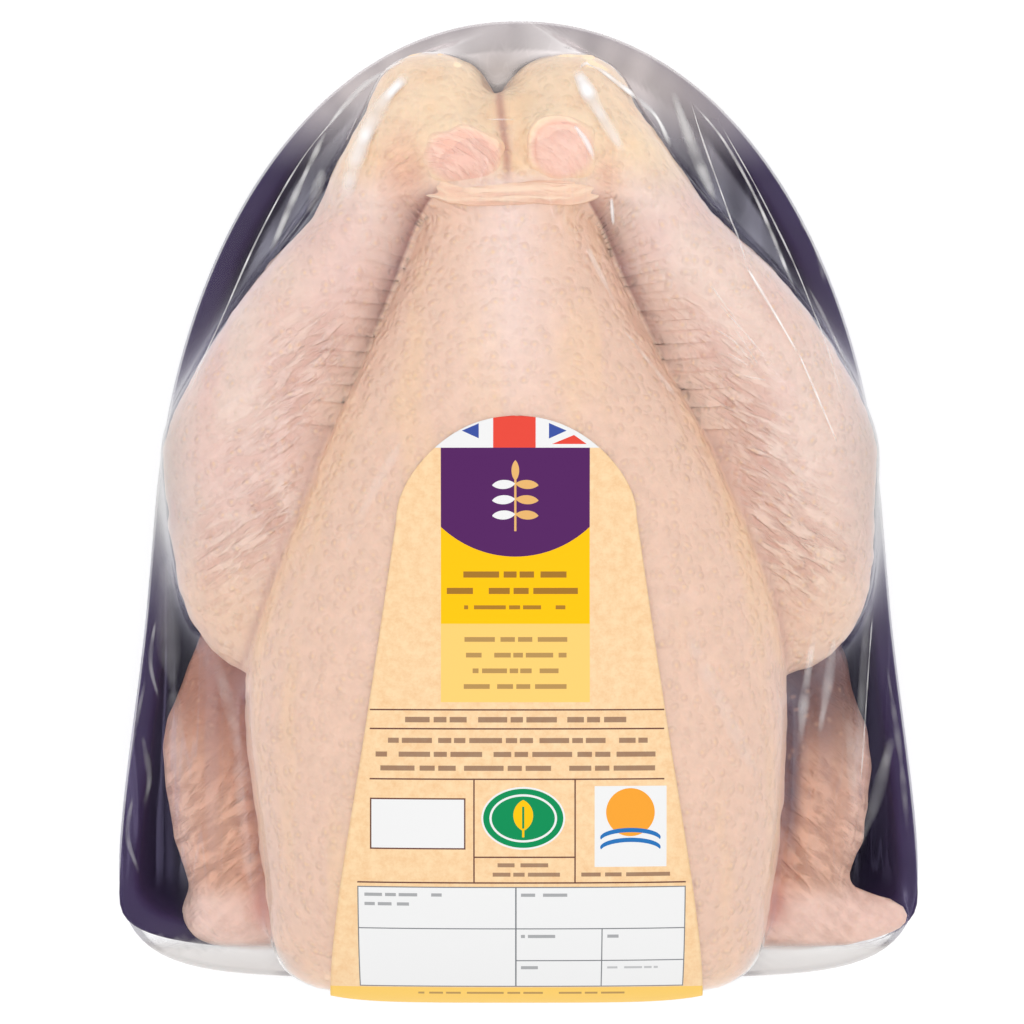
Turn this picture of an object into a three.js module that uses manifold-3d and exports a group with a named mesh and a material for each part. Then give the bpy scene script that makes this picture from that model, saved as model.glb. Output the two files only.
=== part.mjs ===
// A whole raw chicken, breast up in a shaped plastic tray, shrink-wrapped in clear film
// with a paper label stuck over the breast. Millimetres, +Z up, +Y towards the leg end.
// The tray stands flat on z = 0, and the origin is under its middle.

import * as THREE from 'three';
import Module from 'manifold-3d';

// ---------------------------------------------------------------- driving dimensions

// Tray: vacuum-formed, bell-shaped in plan, with a rolled rim.
const TRAY = {
  legEndY: 135.1,
  neckEndY: -122.3,
  halfWidthMiddle: 101,
  halfWidthNeck: 110.7,
  height: 33,
  wall: 1.2,
  floor: 1.4,
  wallLean: 9,
  flange: 4.2,
  lipDrop: 5,
  footRadius: 3.5,
};

// Film: pulled tight round the tray and over the bird, with a little slack at the neck end.
const FILM = {
  legEndY: 136,
  neckEndY: -129.5,
  halfWidthMiddle: 101.8,
  halfWidthNeck: 111.5,
  beltTop: 34,
  skirtTop: 50,
  skirtLean: 0.75,
  offset: 0.4,
  pull: 6,
};

// How far each outline is rounded in from its two ends, and how square that rounding is.
const LEG_END_ROUND = { length: 159, square: 2.08 };
const TRAY_NECK_ROUND = { length: 20, square: 4.2 };
const FILM_NECK_ROUND = { length: 60, square: 6 };

// How far the sides go on flaring towards the neck end.
const FLARE_LENGTH = 112;

// Label: an arch of paper, wider towards the neck end, which it wraps over.
const LABEL = {
  archTopY: 25.4,
  archFootY: 2,
  halfWidthArch: 32,
  halfWidthNeck: 50.6,
  neckY: -133,
  gap: 0.6,
  thickness: 0.45,
  foldY: -62,
  foldZ: 52,
  neckAngle: 14,
};

const GAP = 0.3;

// Bird: each part is a run of rounded sections across Y.
// A row is [y, sideways, half width, middle height, height above it, depth below it].
const BREAST = {
  square: 2.3,
  neck: { y: -133.2, width: { length: 32, square: 5 }, height: { length: 60, square: 2.2 } },
  leg: { y: 108, width: { length: 24, square: 2.4 }, height: { length: 24, square: 2.4 } },
  rows: [
    [-135, 0, 66, 66, 54, 45],
    [-118, 0, 67.4, 65.2, 54.2, 49],
    [-100, 0, 70, 64.5, 54.5, 53],
    [-78, 0, 72.6, 63.5, 54.3, 56.5],
    [-50, 0, 74.2, 62.3, 53.8, 59],
    [-20, 0, 69.9, 61.5, 51.5, 59],
    [15, 0, 56.2, 60, 46.5, 57],
    [45, 0, 41, 58, 40.5, 53],
    [70, 0, 30, 56, 34, 48],
    [84, 0, 26.5, 55, 31, 45],
    [108, 0, 26, 50, 28, 40],
  ],
};

// The two legs differ a little: the left one is tucked in closer.
const LEG_ROWS = {
  left: [
    [-45, 65.6, 20, 57, 20, 30],
    [-20, 68.1, 26, 50, 28, 36],
    [0, 69.6, 27.6, 47, 33, 38],
    [22, 69.1, 27.4, 47, 34, 38],
    [46, 58.3, 24.2, 49, 33, 36],
    [66, 48.1, 19.8, 52, 30, 34],
    [80, 38.6, 16, 53, 28, 34],
    [86, 33, 18.1, 54, 28, 34],
    [92, 25, 23.4, 55, 28.5, 34],
    [100, 20.4, 23.4, 55, 29, 34],
    [111, 18.3, 19, 53, 29, 34],
    [126, 18.7, 18, 50, 28, 34],
  ],
  right: [
    [-45, 67.4, 24, 57, 20, 30],
    [-20, 69.3, 27, 50, 28, 36],
    [0, 70.2, 27.4, 47, 33, 38],
    [22, 70.1, 28.2, 47, 34, 38],
    [46, 62, 26, 49, 33, 36],
    [66, 50.4, 22.6, 52, 30, 34],
    [80, 40.3, 18, 53, 28, 34],
    [86, 34, 19, 54, 28, 34],
    [92, 25.4, 24, 55, 28.5, 34],
    [100, 20.2, 24.3, 55, 29, 34],
    [111, 18.3, 20.2, 53, 29, 34],
    [126, 19, 19, 50, 28, 34],
  ],
};

function legOf(rows) {
  return {
    square: 2.25,
    neck: { y: -45, width: { length: 26, square: 2.6 }, height: { length: 34, square: 2.2 } },
    leg: { y: 126.2, width: { length: 22, square: 2.3 }, height: { length: 30, square: 2.1 } },
    rows,
  };
}

const LEFT_LEG = legOf(LEG_ROWS.left);
const RIGHT_LEG = legOf(LEG_ROWS.right);

const WING = {
  square: 2.3,
  neck: { y: -121.5, width: { length: 14, square: 2.6 }, height: { length: 18, square: 2.4 } },
  leg: { y: -22, width: { length: 24, square: 2.3 }, height: { length: 24, square: 2.3 } },
  rows: [
    [-120, 74, 15, 33, 19, 22],
    [-103, 75, 16.5, 34, 22, 26],
    [-85, 78, 18.4, 35, 22, 28],
    [-62, 79.5, 17.6, 35, 20, 28],
    [-46, 77, 15.5, 34, 17, 26],
    [-22, 74, 13, 33, 15, 24],
  ],
};

// Rounded lumps: [x, y, z] middle and [x, y, z] radii.
const WING_TIP_RIGHT = { middle: [84, -112, 39], radii: [24, 8, 7] };
const WING_TIP_LEFT = { middle: [-81, -112, 31], radii: [12, 8.5, 11] };
const HOCK_LEFT = { middle: [-15, 96.7, 80], radii: [12.4, 8.8, 11.5] };
const HOCK_RIGHT = { middle: [11.4, 98.6, 80.5], radii: [10.8, 9.8, 11.5] };
const SKIN_STRAP = { middle: [-3.8, 86.8, 80.5], radii: [28, 5, 11.5] };

// The bird lies with a slight bend: how far its middle line is from x = 0 along Y.
const MIDDLE_LINE = [
  [-135, -0.6],
  [-118, -0.2],
  [-90, 0.2],
  [-50, -0.7],
  [-15, 0.6],
  [15, -0.1],
  [47, -2],
  [75, -2.6],
  [95, -3.4],
  [112, -5.2],
];

const SKIN_BLEND = 3.5;

// Mesh fineness.
const ROWS_CAP = 15;
const ROWS_MIDDLE = 27;
const COLUMNS_ABOVE = 54;
const COLUMNS_BELOW = 14;
const OUTLINE_STEPS = 96;
const LABEL_ROWS = 16;
const LABEL_ARCH_ROWS = 7;
const LABEL_COLUMNS = 12;

// ---------------------------------------------------------------- smooth sections

// Every column after the first of rows, at y, on a smooth curve through the rows.
function along(rows, y) {
  const last = rows.length - 1;
  const held = Math.min(Math.max(y, rows[0][0]), rows[last][0]);
  let i = 0;
  while (i < last - 1 && held > rows[i + 1][0]) i += 1;
  const slope = (k, c) => {
    const a = rows[Math.max(k - 1, 0)];
    const b = rows[Math.min(k + 1, last)];
    return (b[c] - a[c]) / (b[0] - a[0]);
  };
  const span = rows[i + 1][0] - rows[i][0];
  const t = (held - rows[i][0]) / span;
  const t2 = t * t;
  const t3 = t2 * t;
  return rows[i].slice(1).map((start, k) => {
    const c = k + 1;
    const end = rows[i + 1][c];
    return (2 * t3 - 3 * t2 + 1) * start + (3 * t2 - 2 * t3) * end
      + (t3 - 2 * t2 + t) * span * slope(i, c) + (t3 - t2) * span * slope(i + 1, c);
  });
}

// 1 away from an end, falling to 0 at the end along a superellipse.
function rounded(distanceIn, { length, square }) {
  const t = Math.min(Math.max(1 - distanceIn / length, 0), 1);
  return (1 - t ** square) ** (1 / square);
}

function middleLine(y) {
  return along(MIDDLE_LINE, y)[0];
}

// Signed distance, roughly, to a part made of rounded sections. side is -1, 0 or 1.
function toSections(part, side, x, y, z) {
  const fromNeck = y - part.neck.y;
  const fromLeg = part.leg.y - y;
  const [sideways, halfWidth, middle, above, below] = along(part.rows, y);
  const across = x - middleLine(y) - side * sideways;
  const up = z - middle;
  const reach = Math.hypot(across, up);
  if (fromNeck <= 0 || fromLeg <= 0) return Math.hypot(reach, Math.min(fromNeck, fromLeg));
  const w = halfWidth * rounded(fromNeck, part.neck.width) * rounded(fromLeg, part.leg.width);
  const h = (up > 0 ? above : below)
    * rounded(fromNeck, part.neck.height) * rounded(fromLeg, part.leg.height);
  const n = part.square;
  const ratio = (Math.abs(across / w) ** n + Math.abs(up / h) ** n) ** (1 / n);
  return ratio < 1e-6 ? -Math.min(w, h) : reach * (1 - 1 / ratio);
}

function toLump({ middle, radii }, x, y, z) {
  const offset = [x - middle[0], y - middle[1], z - middle[2]];
  const reach = Math.hypot(...offset);
  const ratio = Math.hypot(...offset.map((value, i) => value / radii[i]));
  return ratio < 1e-6 ? -Math.min(...radii) : reach * (1 - 1 / ratio);
}

// Smallest of the distances, with the creases between parts filled to a radius.
function blended(distances, radius) {
  return distances.reduce((a, b) => {
    const share = Math.max(radius - Math.abs(a - b), 0) / radius;
    return Math.min(a, b) - share * share * radius / 4;
  });
}

function toBird(x, y, z) {
  return blended([
    toSections(BREAST, 0, x, y, z),
    toSections(LEFT_LEG, -1, x, y, z),
    toSections(RIGHT_LEG, 1, x, y, z),
    toSections(WING, -1, x, y, z),
    toSections(WING, 1, x, y, z),
    toLump(WING_TIP_LEFT, x, y, z),
    toLump(WING_TIP_RIGHT, x, y, z),
    toLump(HOCK_LEFT, x, y, z),
    toLump(HOCK_RIGHT, x, y, z),
    toLump(SKIN_STRAP, x, y, z),
  ], SKIN_BLEND);
}

// ---------------------------------------------------------------- bell-shaped outlines

// Half width at y of a bell outline drawn in by inset: an ellipse at the leg end,
// straight flaring sides, and squarer corners at the neck end.
function bellHalfWidth(bell, neckRound, inset, y) {
  const fromNeck = y - (bell.neckEndY + inset);
  const fromLeg = bell.legEndY - inset - y;
  if (fromNeck <= 0 || fromLeg <= 0) return 0;
  const flare = THREE.MathUtils.smoothstep(-y, 0, FLARE_LENGTH);
  const full = THREE.MathUtils.lerp(bell.halfWidthMiddle, bell.halfWidthNeck, flare) - inset;
  return full * rounded(fromNeck, neckRound) * rounded(fromLeg, LEG_END_ROUND);
}

function insideBell(bell, neckRound, inset, x, y) {
  return Math.abs(x) < bellHalfWidth(bell, neckRound, inset, y);
}

// The farthest point along a ray that passes the test, by stepping in and then halving.
function farthest(test, reach) {
  const step = 1.5;
  let outside = reach;
  while (outside > step && !test(outside - step)) outside -= step;
  let inside = Math.max(outside - step, 0);
  for (let i = 0; i < 24; i += 1) {
    const half = (inside + outside) / 2;
    if (test(half)) inside = half;
    else outside = half;
  }
  return inside;
}

// Points round a bell outline at equal angles, anticlockwise from +X.
function bellOutline(bell, neckRound, inset) {
  return Array.from({ length: OUTLINE_STEPS }, (_, i) => {
    const angle = (2 * Math.PI * i) / OUTLINE_STEPS;
    const [c, s] = [Math.cos(angle), Math.sin(angle)];
    const r = farthest((d) => insideBell(bell, neckRound, inset, d * c, d * s), 180);
    return [r * c, r * s];
  });
}

// ---------------------------------------------------------------- meshes and solids

const wasm = await Module();
wasm.setup();

function geometryOf(positions, triangles) {
  const geometry = new THREE.BufferGeometry();
  geometry.setAttribute('position', new THREE.Float32BufferAttribute(positions.flat(), 3));
  geometry.setIndex(triangles.flat());
  return geometry;
}

function solidOf(geometry) {
  return new wasm.Manifold(new wasm.Mesh({
    numProp: 3,
    vertProperties: new Float32Array(geometry.attributes.position.array),
    triVerts: new Uint32Array(geometry.index.array),
  }));
}

function geometryFrom(solid) {
  const { vertProperties, triVerts } = solid.getMesh();
  const geometry = new THREE.BufferGeometry();
  geometry.setAttribute('position', new THREE.BufferAttribute(new Float32Array(vertProperties), 3));
  geometry.setIndex(new THREE.BufferAttribute(new Uint32Array(triVerts), 1));
  return geometry;
}

// A solid lofted through rings with equal point counts, closed by a flat fan at each end.
// The rings run from the outside bottom, up, over and down the inside, or simply upwards.
function loft(rings) {
  const count = rings[0].length;
  const positions = rings.flat();
  const triangles = [];
  for (let r = 0; r + 1 < rings.length; r += 1) {
    for (let i = 0; i < count; i += 1) {
      const next = (i + 1) % count;
      const [a, b] = [r * count + i, r * count + next];
      const [c, d] = [a + count, b + count];
      triangles.push([a, b, d], [a, d, c]);
    }
  }
  const top = (rings.length - 1) * count;
  const hubs = [rings[0][0][2], rings[rings.length - 1][0][2]];
  positions.push([0, 0, hubs[0]], [0, 0, hubs[1]]);
  for (let i = 0; i < count; i += 1) {
    const next = (i + 1) % count;
    triangles.push([positions.length - 2, next, i], [positions.length - 1, top + i, top + next]);
  }
  return geometryOf(positions, triangles);
}

function ring(bell, neckRound, inset, z) {
  return bellOutline(bell, neckRound, inset).map(([x, y]) => [x, y, z]);
}

// ---------------------------------------------------------------- tray

// Inset of the tray's outer wall at height z: it leans out from the foot to the flange.
function wallInset(z) {
  return TRAY.flange + TRAY.wallLean * (1 - z / TRAY.height);
}

function trayGeometry() {
  const { height, wall, floor, flange, lipDrop, footRadius } = TRAY;
  const rim = 0.8;
  const under = height - 2 * rim;
  const profile = [
    [wallInset(0) + footRadius, 0],
    [wallInset(0) + footRadius * 0.3, footRadius * 0.3],
    [wallInset(footRadius), footRadius],
    [wallInset(under), under],
    [2 * rim, under],
    [2 * rim, height - lipDrop],
    [0, height - lipDrop],
    [0, height - rim],
    [rim, height],
    [flange + wall - rim, height],
    [flange + wall, height - rim],
    [wallInset(footRadius + floor) + wall, footRadius + floor],
    [wallInset(0) + wall + footRadius * 0.3, floor + footRadius * 0.3],
    [wallInset(0) + wall + footRadius, floor],
  ];
  return loft(profile.map(([inset, z]) => ring(TRAY, TRAY_NECK_ROUND, inset, z)));
}

// What fills the tray inside its walls, drawn in by the gap, up to just over the rim.
function trayFill() {
  const { height, wall, floor, flange, footRadius } = TRAY;
  const profile = [
    [wallInset(0) + wall + footRadius + GAP, floor + GAP],
    [wallInset(footRadius + floor) + wall + GAP, footRadius + floor + GAP],
    [flange + wall + 2 * GAP, height - 0.5],
    [flange + wall + 2 * GAP, height + 2 * GAP],
  ];
  return loft(profile.map(([inset, z]) => ring(TRAY, TRAY_NECK_ROUND, inset, z)));
}

// ---------------------------------------------------------------- film over the bird

const AXIS = { legY: 62, neckY: -66, z: 31 };

// Rays fan out from a line inside the bird, pole to pole, and round it from under +X.
function filmRays() {
  const rows = [];
  for (let i = 1; i < ROWS_CAP; i += 1) rows.push([AXIS.legY, (Math.PI / 2) * (i / ROWS_CAP)]);
  for (let i = 0; i <= ROWS_MIDDLE; i += 1) {
    rows.push([THREE.MathUtils.lerp(AXIS.legY, AXIS.neckY, i / ROWS_MIDDLE), Math.PI / 2]);
  }
  for (let i = 1; i < ROWS_CAP; i += 1) {
    rows.push([AXIS.neckY, (Math.PI / 2) * (1 + i / ROWS_CAP)]);
  }
  const angles = [];
  for (let j = 0; j < COLUMNS_ABOVE; j += 1) angles.push((Math.PI * j) / COLUMNS_ABOVE);
  for (let j = 0; j < COLUMNS_BELOW; j += 1) angles.push(Math.PI * (1 + j / COLUMNS_BELOW));
  return rows.map(([y, tilt]) => angles.map((angle) => ({
    from: new THREE.Vector3(0, y, AXIS.z),
    way: new THREE.Vector3(Math.cos(angle) * Math.sin(tilt), Math.cos(tilt),
      Math.sin(angle) * Math.sin(tilt)),
  })));
}

// What lies under the film: the bird, the upright belt of film round the tray, and the
// skirt of film that leans in from the rim to the bird.
function underFilm(p) {
  if (p.z < 0) return false;
  const inset = Math.max(p.z - FILM.beltTop, 0) * FILM.skirtLean;
  if (p.z < FILM.skirtTop && insideBell(FILM, FILM_NECK_ROUND, inset, p.x, p.y)) return true;
  return toBird(p.x, p.y, p.z) < FILM.offset;
}

// Film radius on every ray: it starts on what it covers, then is pulled tight again and
// again towards the mean of its neighbours, and never sinks into what it covers.
function tightFilm(rays) {
  const at = (ray, r) => ray.way.clone().multiplyScalar(r).add(ray.from);
  const held = rays.map((row) => row.map((ray) => farthest((d) => underFilm(at(ray, d)), 180)));
  const columns = rays[0].length;
  let radius = held.map((row) => [...row]);
  const mean = (points) => points.reduce((a, b) => a.add(b), new THREE.Vector3())
    .divideScalar(points.length);
  for (let pass = 0; pass < FILM.pull; pass += 1) {
    const points = rays.map((row, i) => row.map((ray, j) => at(ray, radius[i][j])));
    const poles = [mean(points[0].map((p) => p.clone())), mean(points.at(-1).map((p) => p.clone()))];
    radius = rays.map((row, i) => row.map((ray, j) => {
      const around = [
        i > 0 ? points[i - 1][j] : poles[0],
        i + 1 < rays.length ? points[i + 1][j] : poles[1],
        points[i][(j + 1) % columns],
        points[i][(j + columns - 1) % columns],
      ];
      const pulled = mean(around.map((p) => p.clone())).sub(ray.from).dot(ray.way);
      return Math.max(held[i][j], pulled);
    }));
  }
  return rays.map((row, i) => row.map((ray, j) => at(ray, radius[i][j]).toArray()));
}

function filmHull() {
  const points = tightFilm(filmRays());
  const columns = points[0].length;
  const positions = points.flat();
  const triangles = [];
  for (let i = 0; i + 1 < points.length; i += 1) {
    for (let j = 0; j < columns; j += 1) {
      const next = (j + 1) % columns;
      const [a, b] = [i * columns + j, i * columns + next];
      const [c, d] = [a + columns, b + columns];
      triangles.push([a, b, c], [b, d, c]);
    }
  }
  const pole = (row) => row.reduce((sum, p) => sum.map((v, k) => v + p[k] / columns), [0, 0, 0]);
  positions.push(pole(points[0]), pole(points.at(-1)));
  const lastRow = (points.length - 1) * columns;
  for (let j = 0; j < columns; j += 1) {
    const next = (j + 1) % columns;
    triangles.push([positions.length - 2, next, j]);
    triangles.push([positions.length - 1, lastRow + j, lastRow + next]);
  }
  return geometryOf(positions, triangles);
}

// The filled pack: all that the film holds above the rim, and what fills the tray.
function packGeometry() {
  const size = 400;
  const above = new THREE.BoxGeometry(size, size, size);
  above.deleteAttribute('uv');
  above.deleteAttribute('normal');
  above.translate(0, 0, TRAY.height + GAP + size / 2);
  const dome = solidOf(filmHull()).intersect(solidOf(mergeCorners(above)));
  return geometryFrom(dome.add(solidOf(trayFill())));
}

// A box's faces share their corners once the like positions are merged.
function mergeCorners(geometry) {
  const { array } = geometry.attributes.position;
  const keys = new Map();
  const positions = [];
  const index = [...geometry.index.array].map((i) => {
    const p = [array[3 * i], array[3 * i + 1], array[3 * i + 2]];
    const key = p.join(',');
    if (!keys.has(key)) {
      keys.set(key, positions.length);
      positions.push(p);
    }
    return keys.get(key);
  });
  return geometryOf(positions, [index]);
}

// ---------------------------------------------------------------- label

// Half width of the label at y: a round arch, then sides that flare to the neck end.
function labelHalfWidth(y) {
  const { archTopY, archFootY, halfWidthArch, halfWidthNeck, neckY } = LABEL;
  if (y > archFootY) {
    const t = Math.min((y - archFootY) / (archTopY - archFootY), 1);
    return halfWidthArch * (1 - t ** 2.1) ** (1 / 2.1);
  }
  const share = (archFootY - y) / (archFootY - neckY);
  return THREE.MathUtils.lerp(halfWidthArch, halfWidthNeck, share);
}

// A point of the wrapped breast in the plane x, seen from the fold line at an angle
// that runs from the neck end up and over, and lifted off it by some height.
function overBreast(x, angle, lift) {
  const [c, s] = [Math.cos(angle), Math.sin(angle)];
  const y = (d) => LABEL.foldY - d * c;
  const z = (d) => LABEL.foldZ + d * s;
  const distance = (d) => toSections(BREAST, 0, x, y(d), z(d));
  const r = farthest((d) => distance(d) < 0, 150);
  const e = 0.5;
  const [py, pz] = [y(r), z(r)];
  const normal = new THREE.Vector3(
    toSections(BREAST, 0, x + e, py, pz) - toSections(BREAST, 0, x - e, py, pz),
    toSections(BREAST, 0, x, py + e, pz) - toSections(BREAST, 0, x, py - e, pz),
    toSections(BREAST, 0, x, py, pz + e) - toSections(BREAST, 0, x, py, pz - e),
  ).normalize();
  return normal.multiplyScalar(lift).add(new THREE.Vector3(x, py, pz)).toArray();
}

// The angle at which the wrapped breast's middle line is reached at y.
function angleAt(y, middle) {
  let [low, high] = [0, Math.PI];
  for (let i = 0; i < 24; i += 1) {
    const half = (low + high) / 2;
    if (overBreast(middle, half, 0)[1] < y) low = half;
    else high = half;
  }
  return low;
}

// The label's rows as angles: even up to the arch's foot, then closer towards its top.
function labelAngles(middle) {
  const start = THREE.MathUtils.degToRad(LABEL.neckAngle);
  const foot = angleAt(LABEL.archFootY, middle);
  const angles = [];
  for (let i = 0; i < LABEL_ROWS; i += 1) {
    angles.push(THREE.MathUtils.lerp(start, foot, i / LABEL_ROWS));
  }
  for (let i = 0; i <= LABEL_ARCH_ROWS; i += 1) {
    const share = Math.sin((0.475 * Math.PI * i) / LABEL_ARCH_ROWS);
    angles.push(angleAt(THREE.MathUtils.lerp(LABEL.archFootY, LABEL.archTopY, share), middle));
  }
  return angles;
}

function labelGeometry() {
  const lifts = [FILM.offset + LABEL.gap, FILM.offset + LABEL.gap + LABEL.thickness];
  const middle = middleLine(LABEL.foldY);
  const angles = labelAngles(middle);
  const sheet = (lift) => angles.map((angle) => {
    const half = labelHalfWidth(overBreast(middle, angle, 0)[1]);
    return Array.from({ length: LABEL_COLUMNS + 1 }, (_, j) => (
      overBreast(middle + half * ((2 * j) / LABEL_COLUMNS - 1), angle, lift)
    ));
  });
  const positions = lifts.flatMap((lift) => sheet(lift).flat());
  const across = LABEL_COLUMNS + 1;
  const rows = angles.length - 1;
  const layer = across * angles.length;
  const triangles = [];
  for (let i = 0; i < rows; i += 1) {
    for (let j = 0; j < LABEL_COLUMNS; j += 1) {
      const a = i * across + j;
      const [b, c, d] = [a + 1, a + across, a + across + 1];
      triangles.push([a, d, b], [a, c, d]);
      triangles.push([layer + a, layer + b, layer + d], [layer + a, layer + d, layer + c]);
    }
  }
  const wall = (a, b) => triangles.push([a, b, layer + b], [a, layer + b, layer + a]);
  for (let j = 0; j < LABEL_COLUMNS; j += 1) {
    const far = rows * across;
    wall(j, j + 1);
    wall(far + j + 1, far + j);
  }
  for (let i = 0; i < rows; i += 1) {
    wall((i + 1) * across, i * across);
    wall(i * across + LABEL_COLUMNS, (i + 1) * across + LABEL_COLUMNS);
  }
  return geometryOf(positions, triangles);
}

// ---------------------------------------------------------------- the packed bird

function piece(name, geometry, color, roughness) {
  const material = new THREE.MeshStandardMaterial({ color, roughness, metalness: 0 });
  const mesh = new THREE.Mesh(geometry, material);
  mesh.name = name;
  return mesh;
}

const chicken = new THREE.Group();
chicken.add(piece('tray', trayGeometry(), 0x241d35, 0.35));
chicken.add(piece('wrapped_bird', packGeometry(), 0xf0cfb6, 0.3));
chicken.add(piece('label', labelGeometry(), 0xfadaaa, 0.6));

export default chicken;
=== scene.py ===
"""A whole raw chicken, breast up in a dark tray, under tight clear film with a paper label."""

import bpy
import numpy as np
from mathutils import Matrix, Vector


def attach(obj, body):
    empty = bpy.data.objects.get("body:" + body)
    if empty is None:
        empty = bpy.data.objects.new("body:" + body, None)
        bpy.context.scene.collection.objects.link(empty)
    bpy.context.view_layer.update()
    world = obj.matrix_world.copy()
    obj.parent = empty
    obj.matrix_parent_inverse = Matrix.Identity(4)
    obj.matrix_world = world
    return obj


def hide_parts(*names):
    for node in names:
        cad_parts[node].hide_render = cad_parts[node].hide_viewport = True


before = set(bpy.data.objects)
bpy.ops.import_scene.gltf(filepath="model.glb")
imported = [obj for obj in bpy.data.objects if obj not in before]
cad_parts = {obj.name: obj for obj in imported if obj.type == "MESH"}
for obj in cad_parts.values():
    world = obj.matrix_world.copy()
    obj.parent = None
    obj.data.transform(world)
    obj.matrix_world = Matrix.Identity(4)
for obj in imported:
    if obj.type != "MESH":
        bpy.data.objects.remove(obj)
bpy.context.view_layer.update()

# ------------------------------------------------------------------ camera
# The pack is looked straight down on from a long way off, leg end up, so that the frame
# takes in FRAME_WIDTH at the height of the tray's rim.
FRAME_WIDTH = 0.28416
RIM_HEIGHT = 0.034
CAMERA_HEIGHT = 2.6
CAMERA_OFFSET = (-0.0018, -0.0002)
SENSOR_WIDTH = 0.036
camera_data = bpy.data.cameras.new("camera")
camera = bpy.data.objects.new("camera", camera_data)
bpy.context.scene.collection.objects.link(camera)
camera_data.sensor_width = 1000 * SENSOR_WIDTH
camera_data.lens = 1000 * SENSOR_WIDTH * (CAMERA_HEIGHT - RIM_HEIGHT) / FRAME_WIDTH
camera.location = (*CAMERA_OFFSET, CAMERA_HEIGHT)
bpy.context.scene.camera = camera

# ------------------------------------------------------------------ floor and light
# A plain pale sheet under the pack, a bright even surround, and soft boxes whose long
# reflections run down the taut film.
bpy.context.scene.view_settings.view_transform = "Standard"
bpy.context.scene.view_settings.look = "None"


def srgb(red, green, blue):
    """Linear colour of an 8-bit screen colour."""
    c = np.array([red, green, blue]) / 255
    return tuple(np.where(c > 0.04045, ((c + 0.055) / 1.055) ** 2.4, c / 12.92))


def mesh_object(name, points, faces):
    """An object at the origin from an array of points in millimetres and an array of faces."""
    mesh = bpy.data.meshes.new(name)
    mesh.from_pydata((np.asarray(points, float) * 0.001).tolist(), [], [list(f) for f in faces])
    mesh.validate()
    mesh.shade_smooth()
    piece = bpy.data.objects.new(name, mesh)
    bpy.context.scene.collection.objects.link(piece)
    return piece


def new_material(name):
    """A material, its node tree and its Principled shader."""
    material = bpy.data.materials.new(name)
    material.use_nodes = True
    tree = material.node_tree
    return material, tree, tree.nodes["Principled BSDF"]


def add_node(tree, kind, values=None, **settings):
    """A node of a kind; values maps its input sockets to a number, a colour or an output."""
    node = tree.nodes.new(kind)
    for key, setting in settings.items():
        setattr(node, key, setting)
    for key, value in (values or {}).items():
        if isinstance(value, bpy.types.NodeSocket):
            tree.links.new(value, node.inputs[key])
        else:
            node.inputs[key].default_value = value
    return node


def maths(tree, operation, *values, clamp=False):
    """The output of a Math node."""
    return add_node(tree, "ShaderNodeMath", dict(enumerate(values)), operation=operation,
                    use_clamp=clamp).outputs[0]


def stored(tree, name, output="Fac"):
    """The output of an Attribute node, which reads what a piece stores under a name."""
    return add_node(tree, "ShaderNodeAttribute", attribute_name=name).outputs[output]


def blend_colour(tree, share, under, over):
    """A colour blended by a share from one, given by its socket, to another, given as linear
    numbers."""
    mix = tree.nodes.new("ShaderNodeMix")
    mix.data_type = "RGBA"
    tree.links.new(share, mix.inputs[0])
    tree.links.new(under, mix.inputs[6])
    mix.inputs[7].default_value = (*over, 1)
    return mix.outputs[2]


FLOOR_HALF = 3000
floor = mesh_object("floor", [[-FLOOR_HALF, -FLOOR_HALF, 0], [FLOOR_HALF, -FLOOR_HALF, 0],
                              [FLOOR_HALF, FLOOR_HALF, 0], [-FLOOR_HALF, FLOOR_HALF, 0]],
                    [[0, 1, 2, 3]])
floor_material, _, floor_shader = new_material("floor sheet")
floor_shader.inputs["Base Color"].default_value = (0.45, 0.45, 0.45, 1)
floor_shader.inputs["Emission Color"].default_value = (1, 1, 1, 1)
floor_shader.inputs["Emission Strength"].default_value = 0.7
floor_shader.inputs["Roughness"].default_value = 0.9
floor_shader.inputs["Specular IOR Level"].default_value = 0.1
floor.data.materials.append(floor_material)

world = bpy.data.worlds.new("surround")
bpy.context.scene.world = world
world.use_nodes = True
world.node_tree.nodes["Background"].inputs["Color"].default_value = (1, 1, 1, 1)
world.node_tree.nodes["Background"].inputs["Strength"].default_value = 0.94


def soft_box(name, place, width, length, watts):
    """A rectangular light at place, turned to face the middle of the pack."""
    data = bpy.data.lights.new(name, "AREA")
    data.shape = "RECTANGLE"
    data.size, data.size_y = width, length
    data.energy = watts
    light = bpy.data.objects.new(name, data)
    bpy.context.scene.collection.objects.link(light)
    light.location = place
    light.rotation_mode = "QUATERNION"
    light.rotation_quaternion = (Vector((0, 0, 0.05)) - light.location).to_track_quat("-Z", "Y")


soft_box("overhead box", (0.1, 0.1, 2.0), 1.9, 1.9, 7.5)
soft_box("left strip", (-1.0, 0.3, 1.6), 0.03, 1.9, 1.1)
soft_box("right strip", (1.0, 0.3, 1.6), 0.03, 1.9, 1.1)

# ------------------------------------------------------------------ tray
# Vacuum-formed from thin aubergine plastic sheet: a flat foot, leaning walls and a rolled
# rim, bell-shaped in plan and square at the neck end.
TRAY = {"leg_end": 135.5, "neck_end": -122.3, "middle": 101.3, "neck": 111}
TRAY_NECK_ROUND = (20, 4.2)
LEG_END_ROUND = (159, 2.08)
FLARE_LENGTH = 112
TRAY_HEIGHT = 33
TRAY_WALL = 0.9
TRAY_FLANGE = 4.2
TRAY_LEAN = 9
TRAY_FOOT_ROUND = 4
TRAY_LIP_ROUND = 1.1
TRAY_UNDERSIDE = 0.25


def rounded(distance_in, length, square):
    """1 away from an end, falling to 0 at the end along a superellipse."""
    t = np.clip(1 - distance_in / length, 0, 1)
    return (1 - t ** square) ** (1 / square)


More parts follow.
